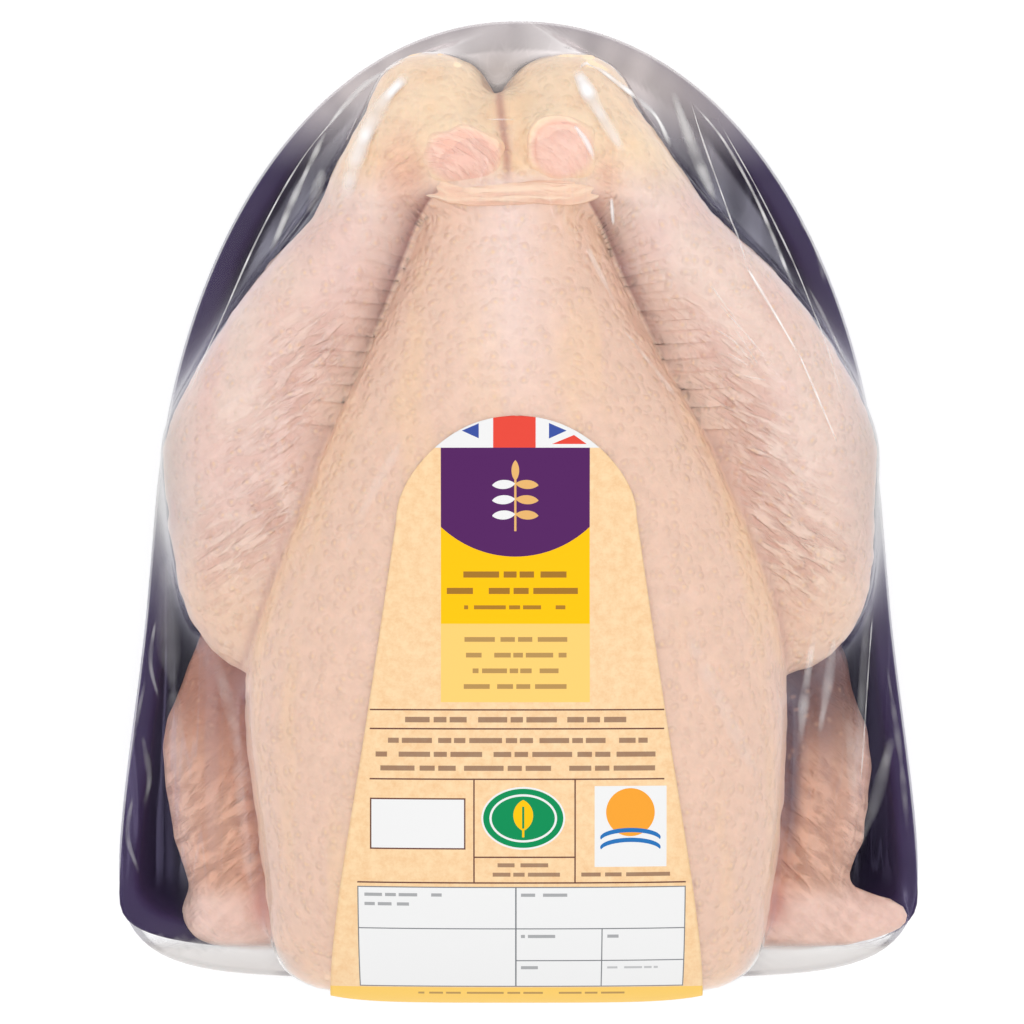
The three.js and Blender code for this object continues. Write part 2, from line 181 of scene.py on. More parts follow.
def tube_faces(rows, columns):
    """Quads of a grid closed round its columns, and a fan of triangles at each pole; the
    poles are the two points after the grid's."""
    i, j = np.meshgrid(np.arange(rows - 1), np.arange(columns), indexing="ij")
    a, b = i * columns + j, i * columns + (j + 1) % columns
    quads = np.stack([a, b, b + columns, a + columns], -1).reshape(-1, 4)
    j = np.arange(columns)
    far = (rows - 1) * columns
    first = np.stack([np.full(columns, rows * columns), (j + 1) % columns, j], -1)
    last = np.stack([np.full(columns, rows * columns + 1), far + j, far + (j + 1) % columns], -1)
    return quads.tolist() + first.tolist() + last.tolist()


def with_poles(grid):
    """A grid's points followed by its two poles, each the mean of the row beside it."""
    return np.concatenate([grid.reshape(-1, 3), grid[:1].mean(1), grid[-1:].mean(1)])


def smooth_step(x, low, high):
    """0 up to low, 1 from high on, and a cubic ease between them."""
    t = np.clip((x - low) / (high - low), 0, 1)
    return t * t * (3 - 2 * t)


def bell_half_width(bell, neck_round, inset, y):
    """Half width at y of a bell outline drawn in by inset: an ellipse at the leg end, sides
    that flare, and squarer corners at the neck end."""
    from_neck = y - (bell["neck_end"] + inset)
    from_leg = bell["leg_end"] - inset - y
    flare = (bell["neck"] - bell["middle"]) * smooth_step(-y, 0, FLARE_LENGTH)
    full = bell["middle"] + flare - inset
    half = full * rounded(from_neck, *neck_round) * rounded(from_leg, *LEG_END_ROUND)
    return np.where((from_neck > 0) & (from_leg > 0), half, 0)


def bell_outline(bell, neck_round, inset, count):
    """Points round a bell outline at equal angles, anticlockwise, found by halving."""
    turn = 2 * np.pi * np.arange(count) / count
    c, s = np.cos(turn), np.sin(turn)
    low, high = np.zeros(count), np.full(count, 180.0)
    for _ in range(30):
        half = (low + high) / 2
        hit = np.abs(half * c) < bell_half_width(bell, neck_round, inset, half * s)
        low, high = np.where(hit, half, low), np.where(hit, high, half)
    return np.stack([low * c, low * s], -1)


def wall_inset(z):
    """Inset of the tray's outer wall at height z."""
    return TRAY_FLANGE + TRAY_LEAN * (1 - z / TRAY_HEIGHT)


def arc(inset, z, radius, first, last, steps=7):
    """Points [inset, z] on a quarter turn about (inset, z); 0 is outward, 90 up."""
    a = np.radians(np.linspace(first, last, steps))
    return [[inset - radius * np.cos(t), z + radius * np.sin(t)] for t in a]


def tray_profile():
    """The sheet's section as [inset, height]: under the foot, up the outside, out under the
    flange, down and round the lip, over the rolled rim, and down the inside."""
    middle, foot, lip = 60, TRAY_FOOT_ROUND, TRAY_LIP_ROUND
    outside = [[middle, TRAY_UNDERSIDE]]
    outside += arc(wall_inset(1) + foot, TRAY_UNDERSIDE + foot, foot, -90, 0)
    outside += [[wall_inset(z), z] for z in (9, 15, 21, 26, 29, 30.6)]
    flange = [[3.4, 31.3], [1.5, 31.3], [1.0, 30.4], [0.9, 28.3], [0.4, 28.0], [0.05, 28.4]]
    flange += arc(lip, TRAY_HEIGHT - lip, lip, 0, 90)
    flange += [[TRAY_FLANGE - 0.6, TRAY_HEIGHT], [TRAY_FLANGE + 0.6, TRAY_HEIGHT - 0.5]]
    inside = [[wall_inset(z) + TRAY_WALL, z] for z in (31, 26, 20, 14, 9)]
    above_foot = TRAY_UNDERSIDE + TRAY_WALL
    inside += arc(wall_inset(1) + TRAY_WALL + foot, above_foot + foot, foot, 0, -90)
    inside += [[middle, above_foot]]
    return outside + flange + inside


TRAY_POINTS = 420
tray_rings = np.stack([
    np.concatenate([bell_outline(TRAY, TRAY_NECK_ROUND, inset, TRAY_POINTS),
                    np.full((TRAY_POINTS, 1), z)], 1) for inset, z in tray_profile()])
tray = mesh_object("tray_sheet", with_poles(tray_rings), tube_faces(*tray_rings.shape[:2]))
tray_plastic, tray_tree, tray_shader = new_material("tray plastic")
tray_place = add_node(tray_tree, "ShaderNodeTexCoord").outputs["Object"]
tray_cloud = add_node(tray_tree, "ShaderNodeTexNoise",
                      {"Vector": tray_place, "Scale": 55, "Detail": 4, "Roughness": 0.6})
tray_ramp = add_node(tray_tree, "ShaderNodeValToRGB", {"Fac": tray_cloud.outputs["Fac"]})
tray_ramp.color_ramp.elements[0].color = (*srgb(42, 27, 66), 1)
tray_ramp.color_ramp.elements[1].color = (*srgb(62, 47, 88), 1)
tray_tree.links.new(tray_ramp.outputs["Color"], tray_shader.inputs["Base Color"])
tray_rough = add_node(tray_tree, "ShaderNodeMapRange",
                      {"Value": tray_cloud.outputs["Fac"], "To Min": 0.3, "To Max": 0.48})
tray_tree.links.new(tray_rough.outputs[0], tray_shader.inputs["Roughness"])
tray_wave = add_node(tray_tree, "ShaderNodeTexNoise",
                     {"Vector": tray_place, "Scale": 34, "Detail": 2})
tray_bump = add_node(tray_tree, "ShaderNodeBump",
                     {"Height": tray_wave.outputs["Fac"], "Strength": 0.35, "Distance": 0.0012})
tray_tree.links.new(tray_bump.outputs[0], tray_shader.inputs["Normal"])
tray_shader.inputs["Specular IOR Level"].default_value = 0.2
tray.data.materials.append(tray_plastic)
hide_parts("tray")
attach(tray, "root")

# ------------------------------------------------------------------ body: breast and legs
# The plucked bird lies on its back: one skin over the keeled breast and the two folded
# legs, whose ends turn over at the leg end. It is raw, moist, pale peach skin.
# A row is [y, sideways, half width, middle height, height above it, depth below it] in mm.
BREAST = {
    "square": 2.3,
    "neck": (-133.2, (32, 5), (60, 2.2)),
    "leg": (108, (24, 2.4), (24, 2.4)),
    "rows": [
        [-135, 0, 66, 66, 54, 45],
        [-118, 0, 67.4, 65.2, 54.2, 49],
        [-100, 0, 70, 64.5, 54.5, 53],
        [-78, 0, 72.6, 63.5, 54.3, 56.5],
        [-50, 0, 74.2, 62.3, 53.8, 59],
        [-20, 0, 69.9, 61.5, 51.5, 59],
        [15, 0, 56.2, 60, 46.5, 57],
        [45, 0, 41, 58, 40.5, 53],
        [70, 0, 30, 56, 34, 48],
        [84, 0, 26.5, 55, 31, 45],
        [108, 0, 26, 50, 28, 40],
    ],
}
# The two legs, -1 left and 1 right, differ a little: the left one is tucked in closer.
LEG_ROWS = {
    -1: [
        [-45, 65.6, 20, 57, 20, 30],
        [-20, 68.1, 26, 50, 28, 36],
        [0, 69.6, 27.6, 47, 33, 38],
        [22, 69.1, 27.4, 47, 34, 38],
        [46, 58.3, 24.2, 49, 33, 36],
        [66, 48.1, 19.8, 52, 30, 34],
        [80, 38.6, 16, 53, 28, 34],
        [86, 33, 18.1, 54, 28, 34],
        [92, 25, 23.4, 55, 28.5, 34],
        [100, 20.4, 23.4, 55, 29, 34],
        [111, 18.3, 19, 53, 29, 34],
        [126, 18.7, 18, 50, 28, 34],
    ],
    1: [
        [-45, 67.4, 24, 57, 20, 30],
        [-20, 69.3, 27, 50, 28, 36],
        [0, 70.2, 27.4, 47, 33, 38],
        [22, 70.1, 28.2, 47, 34, 38],
        [46, 62, 26, 49, 33, 36],
        [66, 50.4, 22.6, 52, 30, 34],
        [80, 40.3, 18, 53, 28, 34],
        [86, 34, 19, 54, 28, 34],
        [92, 25.4, 24, 55, 28.5, 34],
        [100, 20.2, 24.3, 55, 29, 34],
        [111, 18.3, 20.2, 53, 29, 34],
        [126, 19, 19, 50, 28, 34],
    ],
}
LEG = {leg_side: {"square": 2.25, "neck": (-45, (26, 2.6), (34, 2.2)),
                  "leg": (126.2, (22, 2.3), (30, 2.1)), "rows": rows}
       for leg_side, rows in LEG_ROWS.items()}
# How far the bird's middle line strays from x = 0 along Y.
MIDDLE_LINE = [[-135, -0.6], [-118, -0.2], [-90, 0.2], [-50, -0.7], [-15, 0.6], [15, -0.1],
               [47, -2.0], [75, -2.6], [95, -3.4], [112, -5.2]]


def along(rows, y):
    """Every column after the first, at y, on cubic curves that pass through the rows."""
    rows = np.array(rows, float)
    places, values = rows[:, 0], rows[:, 1:]
    before = np.maximum(np.arange(len(places)) - 1, 0)
    after = np.minimum(np.arange(len(places)) + 1, len(places) - 1)
    slopes = (values[after] - values[before]) / (places[after] - places[before])[:, None]
    held = np.clip(y, places[0], places[-1])
    i = np.clip(np.searchsorted(places, held, side="right") - 1, 0, len(places) - 2)
    span = (places[i + 1] - places[i])[..., None]
    t = (held[..., None] - places[i][..., None]) / span
    t2, t3 = t * t, t * t * t
    curve = ((2 * t3 - 3 * t2 + 1) * values[i] + (3 * t2 - 2 * t3) * values[i + 1]
             + (t3 - 2 * t2 + t) * span * slopes[i] + (t3 - t2) * span * slopes[i + 1])
    return np.moveaxis(curve, -1, 0)


def middle_line(y):
    """The x of the bird's middle line at y."""
    return along(MIDDLE_LINE, y)[0]


def to_sections(part, side, p):
    """Signed distance, roughly, from points p to a run of rounded sections: the way from a
    section's middle to p, less the part of it that lies within the superellipse."""
    x, y, z = p[..., 0], p[..., 1], p[..., 2]
    neck_y, neck_width, neck_height = part["neck"]
    leg_y, leg_width, leg_height = part["leg"]
    sideways, half_width, middle, above, below = along(part["rows"], y)
    across = x - middle_line(y) - side * sideways
    up = z - middle
    reach = np.hypot(across, up)
    from_neck, from_leg = y - neck_y, leg_y - y
    past_end = np.minimum(from_neck, from_leg)
    inside = past_end > 0
    w = half_width * rounded(from_neck, *neck_width) * rounded(from_leg, *leg_width)
    h = (np.where(up > 0, above, below)
         * rounded(from_neck, *neck_height) * rounded(from_leg, *leg_height))
    w, h = np.where(inside, np.maximum(w, 1e-3), 1), np.where(inside, np.maximum(h, 1e-3), 1)
    n = part["square"]
    ratio = (np.abs(across / w) ** n + np.abs(up / h) ** n) ** (1 / n)
    return np.where(inside, reach * (1 - 1 / np.maximum(ratio, 1e-6)),
                    np.hypot(reach, past_end))


def blended(distances, radius):
    """Smallest of the distances, with the creases between parts filled to a radius."""
    total = distances[0]
    for distance in distances[1:]:
        share = np.clip(radius - np.abs(total - distance), 0, None) / radius
        total = np.minimum(total, distance) - share * share * radius / 4
    return total


# The swellings under the two hocks and the strap: middle and radii.
BEDS = [([-14.8, 96.6, 78.5], [12.8, 9.6, 11.2]), ([11.8, 98.7, 78.5], [11.2, 10.4, 11.2]),
        ([-3, 86.2, 78.5], [28, 5.6, 10.2]), ([-4.4, 106.5, 69.5], [6.5, 8, 10])]
BED_BLEND = 7
BIRD_CLEARANCE = 1.8


def to_lump(lump, p):
    """Signed distance, roughly, to an ellipsoid given by its middle and its three radii."""
    offset = p - np.array(lump[0], float)
    ratio = np.linalg.norm(offset / np.array(lump[1], float), axis=-1)
    return np.linalg.norm(offset, axis=-1) * (1 - 1 / np.maximum(ratio, 1e-6))


def to_body(p):
    """Signed distance to the breast and legs: the crease is sharp beside the breast's thin
    end, and the skin runs over it more softly towards the thick end. Under the hocks and
    the strap the flesh swells to meet them."""
    radius = 1.6 + 3.6 * np.clip((50 - p[..., 1]) / 60, 0, 1)
    legs = [to_sections(LEG[side], side, p) for side in (-1, 1)]
    skin = blended([to_sections(BREAST, 0, p)] + legs, radius)
    return blended([skin] + [to_lump(bed, p) for bed in BEDS], BED_BLEND)


def in_tray(p):
    """Whether points clear the tray: above its floor, and inside its wall by the bird's
    clearance up to the rim, over which the bird may bulge at a slope."""
    z = p[..., 2]
    inset = np.where(z < TRAY_HEIGHT, wall_inset(z) + BIRD_CLEARANCE,
                     TRAY_FLANGE + BIRD_CLEARANCE - 3 * (z - TRAY_HEIGHT))
    half_width = bell_half_width(TRAY, TRAY_NECK_ROUND, inset, p[..., 1])
    return (z > BIRD_CLEARANCE) & ((np.abs(p[..., 0]) < half_width) | (inset < 0))


def capsule_rays(axis_y, height, caps, middle, columns_above, columns_below):
    """Starts and directions of rays that fan out from a line along Y at a height: quarter
    turns at both ends, level steps between, and columns round it, closer on the upper half.
    Both arrays are rows by columns by 3; the poles are left out."""
    leg_y, neck_y = axis_y
    quarter = np.arange(1, caps) / caps * np.pi / 2
    tilt = np.concatenate([quarter, np.full(middle + 1, np.pi / 2), np.pi / 2 + quarter])
    start_y = np.concatenate([np.full(caps - 1, leg_y), np.linspace(leg_y, neck_y, middle + 1),
                              np.full(caps - 1, neck_y)])
    turn = np.concatenate([np.pi * np.arange(columns_above) / columns_above,
                           np.pi * (1 + np.arange(columns_below) / columns_below)])
    ring = np.sin(tilt)[:, None]
    way = np.stack([np.cos(turn) * ring, np.repeat(np.cos(tilt)[:, None], len(turn), 1),
                    np.sin(turn) * ring], -1)
    start = np.zeros_like(way)
    start[..., 1] = start_y[:, None]
    start[..., 2] = height
    return start, way


def farthest(inside, start, way, reach=180, step=3):
    """The farthest distance along each ray at which inside(points) holds, by steps inward
    from reach and then by halving."""
    outer = np.full(way.shape[:-1], float(reach))
    searching = np.ones(outer.shape, bool)
    for distance in np.arange(reach - step, 0, -step):
        hit = np.zeros_like(searching)
        hit[searching] = inside(start[searching] + distance * way[searching])
        searching &= ~hit
        outer = np.where(searching, distance, outer)
    inner = np.maximum(outer - step, 0)
    for _ in range(11):
        half = (inner + outer) / 2
        hit = inside(start + half[..., None] * way)
        inner, outer = np.where(hit, half, inner), np.where(hit, outer, half)
    return inner


def grid_normals(grid):
    """Unit normals of a grid that is closed round its columns, by central differences."""
    down = np.gradient(grid, axis=0)
    across = (np.roll(grid, -1, 1) - np.roll(grid, 1, 1)) / 2
    normal = np.cross(across, down)
    return normal / np.maximum(np.linalg.norm(normal, axis=-1, keepdims=True), 1e-9)


def noise(p, size, seed):
    """Smooth random values from -1 to 1 at points p: hashed corners of a lattice of cells
    of a size (one for each axis), blended by cubic weights."""
    q = p / np.array(size, float) + 1000
    base = np.floor(q).astype(np.int64)
    f = q - base
    f = f * f * (3 - 2 * f)
    total = np.zeros(p.shape[:-1])
    for corner in np.ndindex(2, 2, 2):
        c = base + np.array(corner)
        h = ((c[..., 0] * 73856093) ^ (c[..., 1] * 19349663) ^ (c[..., 2] * 83492791)
             ^ (seed * 2654435))
        h = (h ^ (h >> 13)) * 1274126177
        value = ((h ^ (h >> 16)) & 0xFFFFFF) / float(0xFFFFFF) * 2 - 1
        weight = np.prod(np.where(corner, f, 1 - f), -1)
        total += weight * value
    return total


def set_attribute(piece, name, values):
    """Stores a number, or a vector such as a linear colour, for each point of a piece."""
    kind, field = ("FLOAT_VECTOR", "vector") if values.shape[-1] == 3 else ("FLOAT", "value")
    attribute = piece.data.attributes.new(name, kind, "POINT")
    attribute.data.foreach_set(field, values.ravel().astype(np.float32))


def mixed(a, b, share):
    """Colours a and b blended by a share for each point."""
    return a + (b - a) * share[..., None]


BODY_AXIS = (60, -62)
BODY_AXIS_HEIGHT = 50
start, way = capsule_rays(BODY_AXIS, BODY_AXIS_HEIGHT, 92, 176, 190, 70)
body_radius = farthest(lambda p: (to_body(p) < 0) & in_tray(p), start, way)
body = start + body_radius[..., None] * way
body_normal = grid_normals(body)


def crease_offset(side):
    """Places along Y, and how far the crease between breast and one leg lies from the
    middle line at each: the first distance at which the leg stands higher."""
    places, across = np.arange(-52, 96, 1.0), np.arange(8, 76, 0.4)
    x, y = np.meshgrid(across, places)
    start = np.stack([side * x + middle_line(y), y, np.full(x.shape, 45.0)], -1)
    up = np.broadcast_to([0.0, 0.0, 1.0], start.shape)
    breast_height = farthest(lambda p: to_sections(BREAST, 0, p) < 0, start, up, reach=90)
    leg_height = farthest(lambda p: to_sections(LEG[side], side, p) < 0, start, up, reach=90)
    leg_over = leg_height > breast_height
    offset = np.where(leg_over.any(1), across[np.argmax(leg_over, axis=1)], 80)
    padded = np.concatenate([[offset[0]] * 3, offset, [offset[-1]] * 3])
    return places, np.convolve(padded, np.ones(7) / 7, "valid")


# The side of the bird, -1 left and 1 right, and how far each point lies past the crease
# between breast and leg, positive on the leg.
bx, by = body[..., 0], body[..., 1]
off_middle = bx - middle_line(by)
side = np.sign(off_middle)
upper = smooth_step(body_normal[..., 2], -0.1, 0.5)
crease = np.abs(off_middle) - np.where(side < 0, np.interp(by, *crease_offset(-1)),
                                       np.interp(by, *crease_offset(1)))


def slanting(x, y, degrees, across, along_it, layer):
    """Places in a noise whose cells are across by along_it mm and run outward and down at
    an angle; another layer gives another pattern."""
    turn = np.radians(degrees)
    return np.stack([(x * np.sin(turn) + y * np.cos(turn)) / across,
                     (x * np.cos(turn) - y * np.sin(turn)) / along_it, 0 * x + 5.0 * layer], -1)


def leg_wrinkles():
    """Amount of fine wrinkles: most on the leg beside the crease."""
    patchy = 0.75 + 0.5 * noise(body, (11, 11, 11), 8)
    return (smooth_step(crease, 0, 2.5) * (1 - 0.85 * smooth_step(crease, 10, 34))
            * smooth_step(by, -42, -5) * (1 - smooth_step(by, 40, 70)) * upper * patchy)


def border_folds():
    """The long fold of loose skin between breast and thigh: a raised lip on the breast side
    with a groove beside it, and a second, weaker lip."""
    where = (1 - smooth_step(by, 18, 46)) * smooth_step(by, -52, -38) * upper
    waver = 0.6 * noise(body, (5, 9, 9), 5)
    lip = (np.exp(-((crease + 2.6 + waver) / 1.5) ** 2)
           + 0.5 * np.exp(-((crease + 7 + 2 * waver) / 1.8) ** 2))
    groove = np.exp(-((crease - 0.6 + waver) / 1.2) ** 2)
    return where * (lip - 0.7 * groove)


def gathered_skin():
    """Where the legs' skin is gathered at the ends of the strap, most at the left."""
    return upper * (np.exp(-(((off_middle + 28) / 6.5) ** 2 + ((by - 93) / 10) ** 2))
                    + 0.6 * np.exp(-(((off_middle - 27) / 4.5) ** 2 + ((by - 91) / 9) ** 2)))


wrinkle = leg_wrinkles()
fold = border_folds()
gathered = gathered_skin()
undulation = noise(body, (22, 34, 22), 21)
dimple = noise(body, (3.4, 3.4, 3.4), 22)
pebbled = noise(body, (4.2, 4.2, 4.2), 23) * (1 - smooth_step(body_normal[..., 2], 0.3, 0.85))
relief = (0.7 * fold + 1.0 * gathered * noise(body, (5, 8, 7), 11) + 0.5 * undulation * upper
          + 0.14 * dimple + 0.42 * pebbled)
body = body + relief[..., None] * body_normal

bird_body = mesh_object("bird_body", with_poles(body), tube_faces(*body.shape[:2]))


def body_tint():
    """Skin colour over the body: peach breast with a pale pink keel and fatty streaks,
    pinker legs, yellow turned-over leg ends, and red-brown painted shade in the creases: along
    the cleft between the leg ends and in the groove beside each fold of loose skin."""
    breast = srgb(238, 203, 181)
    keel = srgb(246, 220, 209)
    fat = srgb(245, 208, 172)
    thigh = srgb(239, 213, 199)
    blush = srgb(235, 199, 188)
    lobe = srgb(255, 227, 191)
    raw = srgb(186, 128, 116)
    sinew = srgb(244, 192, 160)
    on_leg = np.maximum(smooth_step(crease, -0.6, 1.6), smooth_step(by, 88, 94))
    tail = smooth_step(by + 4 * np.clip(1 - np.abs(off_middle) / 30, 0, 1), 84, 101)
    colour = np.broadcast_to(breast, body.shape)
    streak = noise(body, (7, 46, 20), 31) + 0.4 * noise(body, (3, 14, 8), 32)
    colour = mixed(colour, fat, 0.55 * smooth_step(streak, 0.05, 0.9))
    spine_width = 9 + 0.1 * np.clip(80 - by, 0, 90)
    spine = np.exp(-(off_middle / spine_width) ** 2) * smooth_step(by, 8, 60)
    colour = mixed(colour, keel, 0.8 * spine)
    blushing = smooth_step(noise(body, (12, 15, 12), 33), -0.1, 0.8)
    leg_skin = mixed(np.broadcast_to(thigh, body.shape), blush,
                     np.where(side < 0, 0.75, 0.55) * blushing)
    leg_skin = mixed(leg_skin, breast, 0.45 * smooth_step(noise(body, (20, 26, 20), 34), 0, 0.9))
    leg_skin = mixed(leg_skin, fat, 0.5 * smooth_step(-by, -4, 36))
    leg_skin = mixed(leg_skin, lobe, 0.9 * tail)
    colour = mixed(colour, leg_skin, on_leg)
    mottle = smooth_step(noise(body, (8, 8, 8), 35), 0.1, 0.8) * tail
    colour = mixed(colour, srgb(252, 212, 170), 0.5 * mottle)
    # Painted shade: a thin red-brown line along the cleft between the leg ends.
    notch = np.exp(-(off_middle / 1.3) ** 2) * smooth_step(by, 86, 96)
    colour = mixed(colour, raw, 0.75 * notch)
    # The folds' lips are paler fat; their grooves get painted shade in red-brown.
    colour = mixed(colour, fat, 0.5 * smooth_step(fold, 0.15, 0.8))
    colour = mixed(colour, raw, 0.35 * smooth_step(-fold, 0.1, 0.8))
    colour = mixed(colour, sinew, np.clip(0.8 * gathered, 0, 0.8))
    patchy = smooth_step(noise(body, (4, 6, 5), 36), -0.2, 0.6)
    return mixed(colour, raw, 0.16 * gathered * patchy)


def poles_too(values):
    """A grid's values in the order of its points, with those of the two poles."""
    flat = values.reshape(-1, values.shape[-1]) if values.ndim == 3 else values.reshape(-1, 1)
    first, last = values[0].mean(0), values[-1].mean(0)
    return np.concatenate([flat, np.reshape(first, (1, -1)), np.reshape(last, (1, -1))])


set_attribute(bird_body, "skin_tint", poles_too(body_tint()))
set_attribute(bird_body, "crease", poles_too(crease))
# How much painted shade the crease gets: most towards the leg end, little below the middle, none at the
# strap, nor on the underside.
set_attribute(bird_body, "crease_shade_amount", poles_too(
    (0.12 + 0.88 * smooth_step(by, 26, 68)) * (1 - smooth_step(by, 85, 91))
    * smooth_step(by, -50, -30) * upper))
set_attribute(bird_body, "fold_place",
              poles_too(slanting(np.abs(off_middle), by, 33, 2.1, 9, side)))
set_attribute(bird_body, "fold_amount", poles_too(np.clip(wrinkle + 0.5 * gathered, 0, 1)))


def pore_group():
    """Shader group for plucked skin: Height rises in a dome round each follicle and carries
    a fine grain; Spot marks the follicle itself, and Mottle is a cloudy unevenness."""
    group = bpy.data.node_groups.new("plucked skin", "ShaderNodeTree")
    for socket in ("Spacing", "Grain"):
        group.interface.new_socket(socket, in_out="INPUT", socket_type="NodeSocketFloat")
    for socket in ("Height", "Spot", "Mottle"):
        group.interface.new_socket(socket, in_out="OUTPUT", socket_type="NodeSocketFloat")
    source = group.nodes.new("NodeGroupInput")
    sink = group.nodes.new("NodeGroupOutput")
    place = add_node(group, "ShaderNodeTexCoord").outputs["Object"]
    warp = add_node(group, "ShaderNodeTexNoise", {"Vector": place, "Scale": 90, "Detail": 2})
    shift = add_node(group, "ShaderNodeVectorMath",
                     {0: warp.outputs["Color"], "Scale": 0.004}, operation="SCALE")
    moved = add_node(group, "ShaderNodeVectorMath", {0: place, 1: shift.outputs[0]})
    scale = maths(group, "DIVIDE", 1.0, source.outputs["Spacing"])
    cells = add_node(group, "ShaderNodeTexVoronoi",
                     {"Vector": moved.outputs[0], "Scale": scale, "Randomness": 0.75})
    dome = add_node(group, "ShaderNodeMapRange",
                    {"Value": cells.outputs["Distance"], "From Min": 0.08, "From Max": 0.62,
                     "To Min": 1.0, "To Max": 0.0}, interpolation_type="SMOOTHSTEP")
    spot = add_node(group, "ShaderNodeMapRange",
                    {"Value": cells.outputs["Distance"], "From Min": 0.05, "From Max": 0.3,
                     "To Min": 1.0, "To Max": 0.0}, interpolation_type="SMOOTHSTEP")
    grain = add_node(group, "ShaderNodeTexNoise",
                     {"Vector": place, "Scale": 1500, "Detail": 3, "Roughness": 0.6})
    share = maths(group, "MULTIPLY", grain.outputs["Fac"], source.outputs["Grain"])
    height = maths(group, "ADD", dome.outputs[0], share)
    mottle = add_node(group, "ShaderNodeTexNoise",
                      {"Vector": place, "Scale": 260, "Detail": 4, "Roughness": 0.62})
    group.links.new(height, sink.inputs["Height"])
    group.links.new(spot.outputs[0], sink.inputs["Spot"])
    group.links.new(mottle.outputs["Fac"], sink.inputs["Mottle"])
    return group


plucked_skin = pore_group()


def skin_material(name, spacing, grain, bump, spot_colour, spot_share, roughness, valley_shade_colour,
                  fold_relief):
    """Moist raw skin: the piece's own tint, mottled, with follicles in a second colour and
    folds whose valleys get painted shade where the piece's masks ask for them, over pale
    flesh that light soaks into a little. Returns the material, its tree and its skin colour."""
    material, tree, shader = new_material(name)
    tint, fold_place = stored(tree, "skin_tint", "Vector"), stored(tree, "fold_place", "Vector")
    amount = stored(tree, "fold_amount")
    pores = add_node(tree, "ShaderNodeGroup", node_tree=plucked_skin)
    pores.inputs["Spacing"].default_value = spacing
    pores.inputs["Grain"].default_value = grain
    mottle = add_node(tree, "ShaderNodeMapRange",
                      {"Value": pores.outputs["Mottle"], "From Min": 0.3, "From Max": 0.7,
                       "To Min": 0.97, "To Max": 1.09})
    toned = add_node(tree, "ShaderNodeVectorMath", {0: tint, "Scale": mottle.outputs[0]},
                     operation="SCALE")
    spots = maths(tree, "MULTIPLY", pores.outputs["Spot"], spot_share)
    folds = add_node(tree, "ShaderNodeTexNoise",
                     {"Vector": fold_place, "Scale": 1, "Detail": 3, "Roughness": 0.55,
                      "Distortion": 0.3})
    ridge = add_node(tree, "ShaderNodeMapRange",
                     {"Value": folds.outputs["Fac"], "From Min": 0.36, "From Max": 0.62},
                     interpolation_type="SMOOTHSTEP").outputs[0]
    # Painted shade: the valleys between the folds are darkened towards the valley shade colour.
    valley = maths(tree, "MULTIPLY", maths(tree, "SUBTRACT", 1.0, ridge), amount)
    colour = blend_colour(tree, spots, toned.outputs[0], spot_colour)
    colour = blend_colour(tree, maths(tree, "MULTIPLY", valley, 0.62), colour, valley_shade_colour)
    tree.links.new(colour, shader.inputs["Base Color"])
    raised = maths(tree, "MULTIPLY", ridge, amount)
    height = maths(tree, "MULTIPLY_ADD", raised, fold_relief, pores.outputs["Height"])
    relief_node = add_node(tree, "ShaderNodeBump",
                           {"Height": height, "Strength": 1.0, "Distance": bump})
    tree.links.new(relief_node.outputs[0], shader.inputs["Normal"])
    wet = add_node(tree, "ShaderNodeMapRange",
                   {"Value": pores.outputs["Mottle"], "From Min": 0.3, "From Max": 0.7,
                    "To Min": roughness - 0.07, "To Max": roughness + 0.08})
    tree.links.new(wet.outputs[0], shader.inputs["Roughness"])
    shader.inputs["Subsurface Weight"].default_value = 0.12
    shader.inputs["Subsurface Radius"].default_value = (1.0, 0.45, 0.3)
    shader.inputs["Subsurface Scale"].default_value = 0.004
    shader.inputs["Specular IOR Level"].default_value = 0.35
    return material, tree, colour


body_skin, body_tree, body_colour = skin_material(
    "body skin", 0.0029, 0.35, 0.00044, srgb(248, 211, 166), 0.5, 0.42, srgb(212, 158, 140), 1.5)
# Painted shade in the crease between breast and leg: darkest at its bottom, fading over the leg.
crease_place = add_node(body_tree, "ShaderNodeMapRange",
                        {"Value": stored(body_tree, "crease"), "From Min": -3.0, "From Max": 12.0})
crease_ramp = add_node(body_tree, "ShaderNodeValToRGB", {"Fac": crease_place.outputs[0]})
crease_ramp.color_ramp.elements[0].position = 0.13
crease_ramp.color_ramp.elements[0].color = (0, 0, 0, 1)
crease_ramp.color_ramp.elements[1].position = 0.84
crease_ramp.color_ramp.elements[1].color = (0, 0, 0, 1)
for place, value in ((0.2, 1.0), (0.3, 0.72), (0.5, 0.26)):
    crease_ramp.color_ramp.elements.new(place).color = (value, value, value, 1)
crease_shade = maths(body_tree, "MULTIPLY", crease_ramp.outputs["Color"],
                     stored(body_tree, "crease_shade_amount"))
crease_share = maths(body_tree, "MULTIPLY", crease_shade, 0.85)
body_colour = blend_colour(body_tree, crease_share, body_colour, srgb(156, 108, 102))
body_tree.links.new(body_colour, body_tree.nodes["Principled BSDF"].inputs["Base Color"])
bird_body.data.materials.append(body_skin)
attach(bird_body, "root")

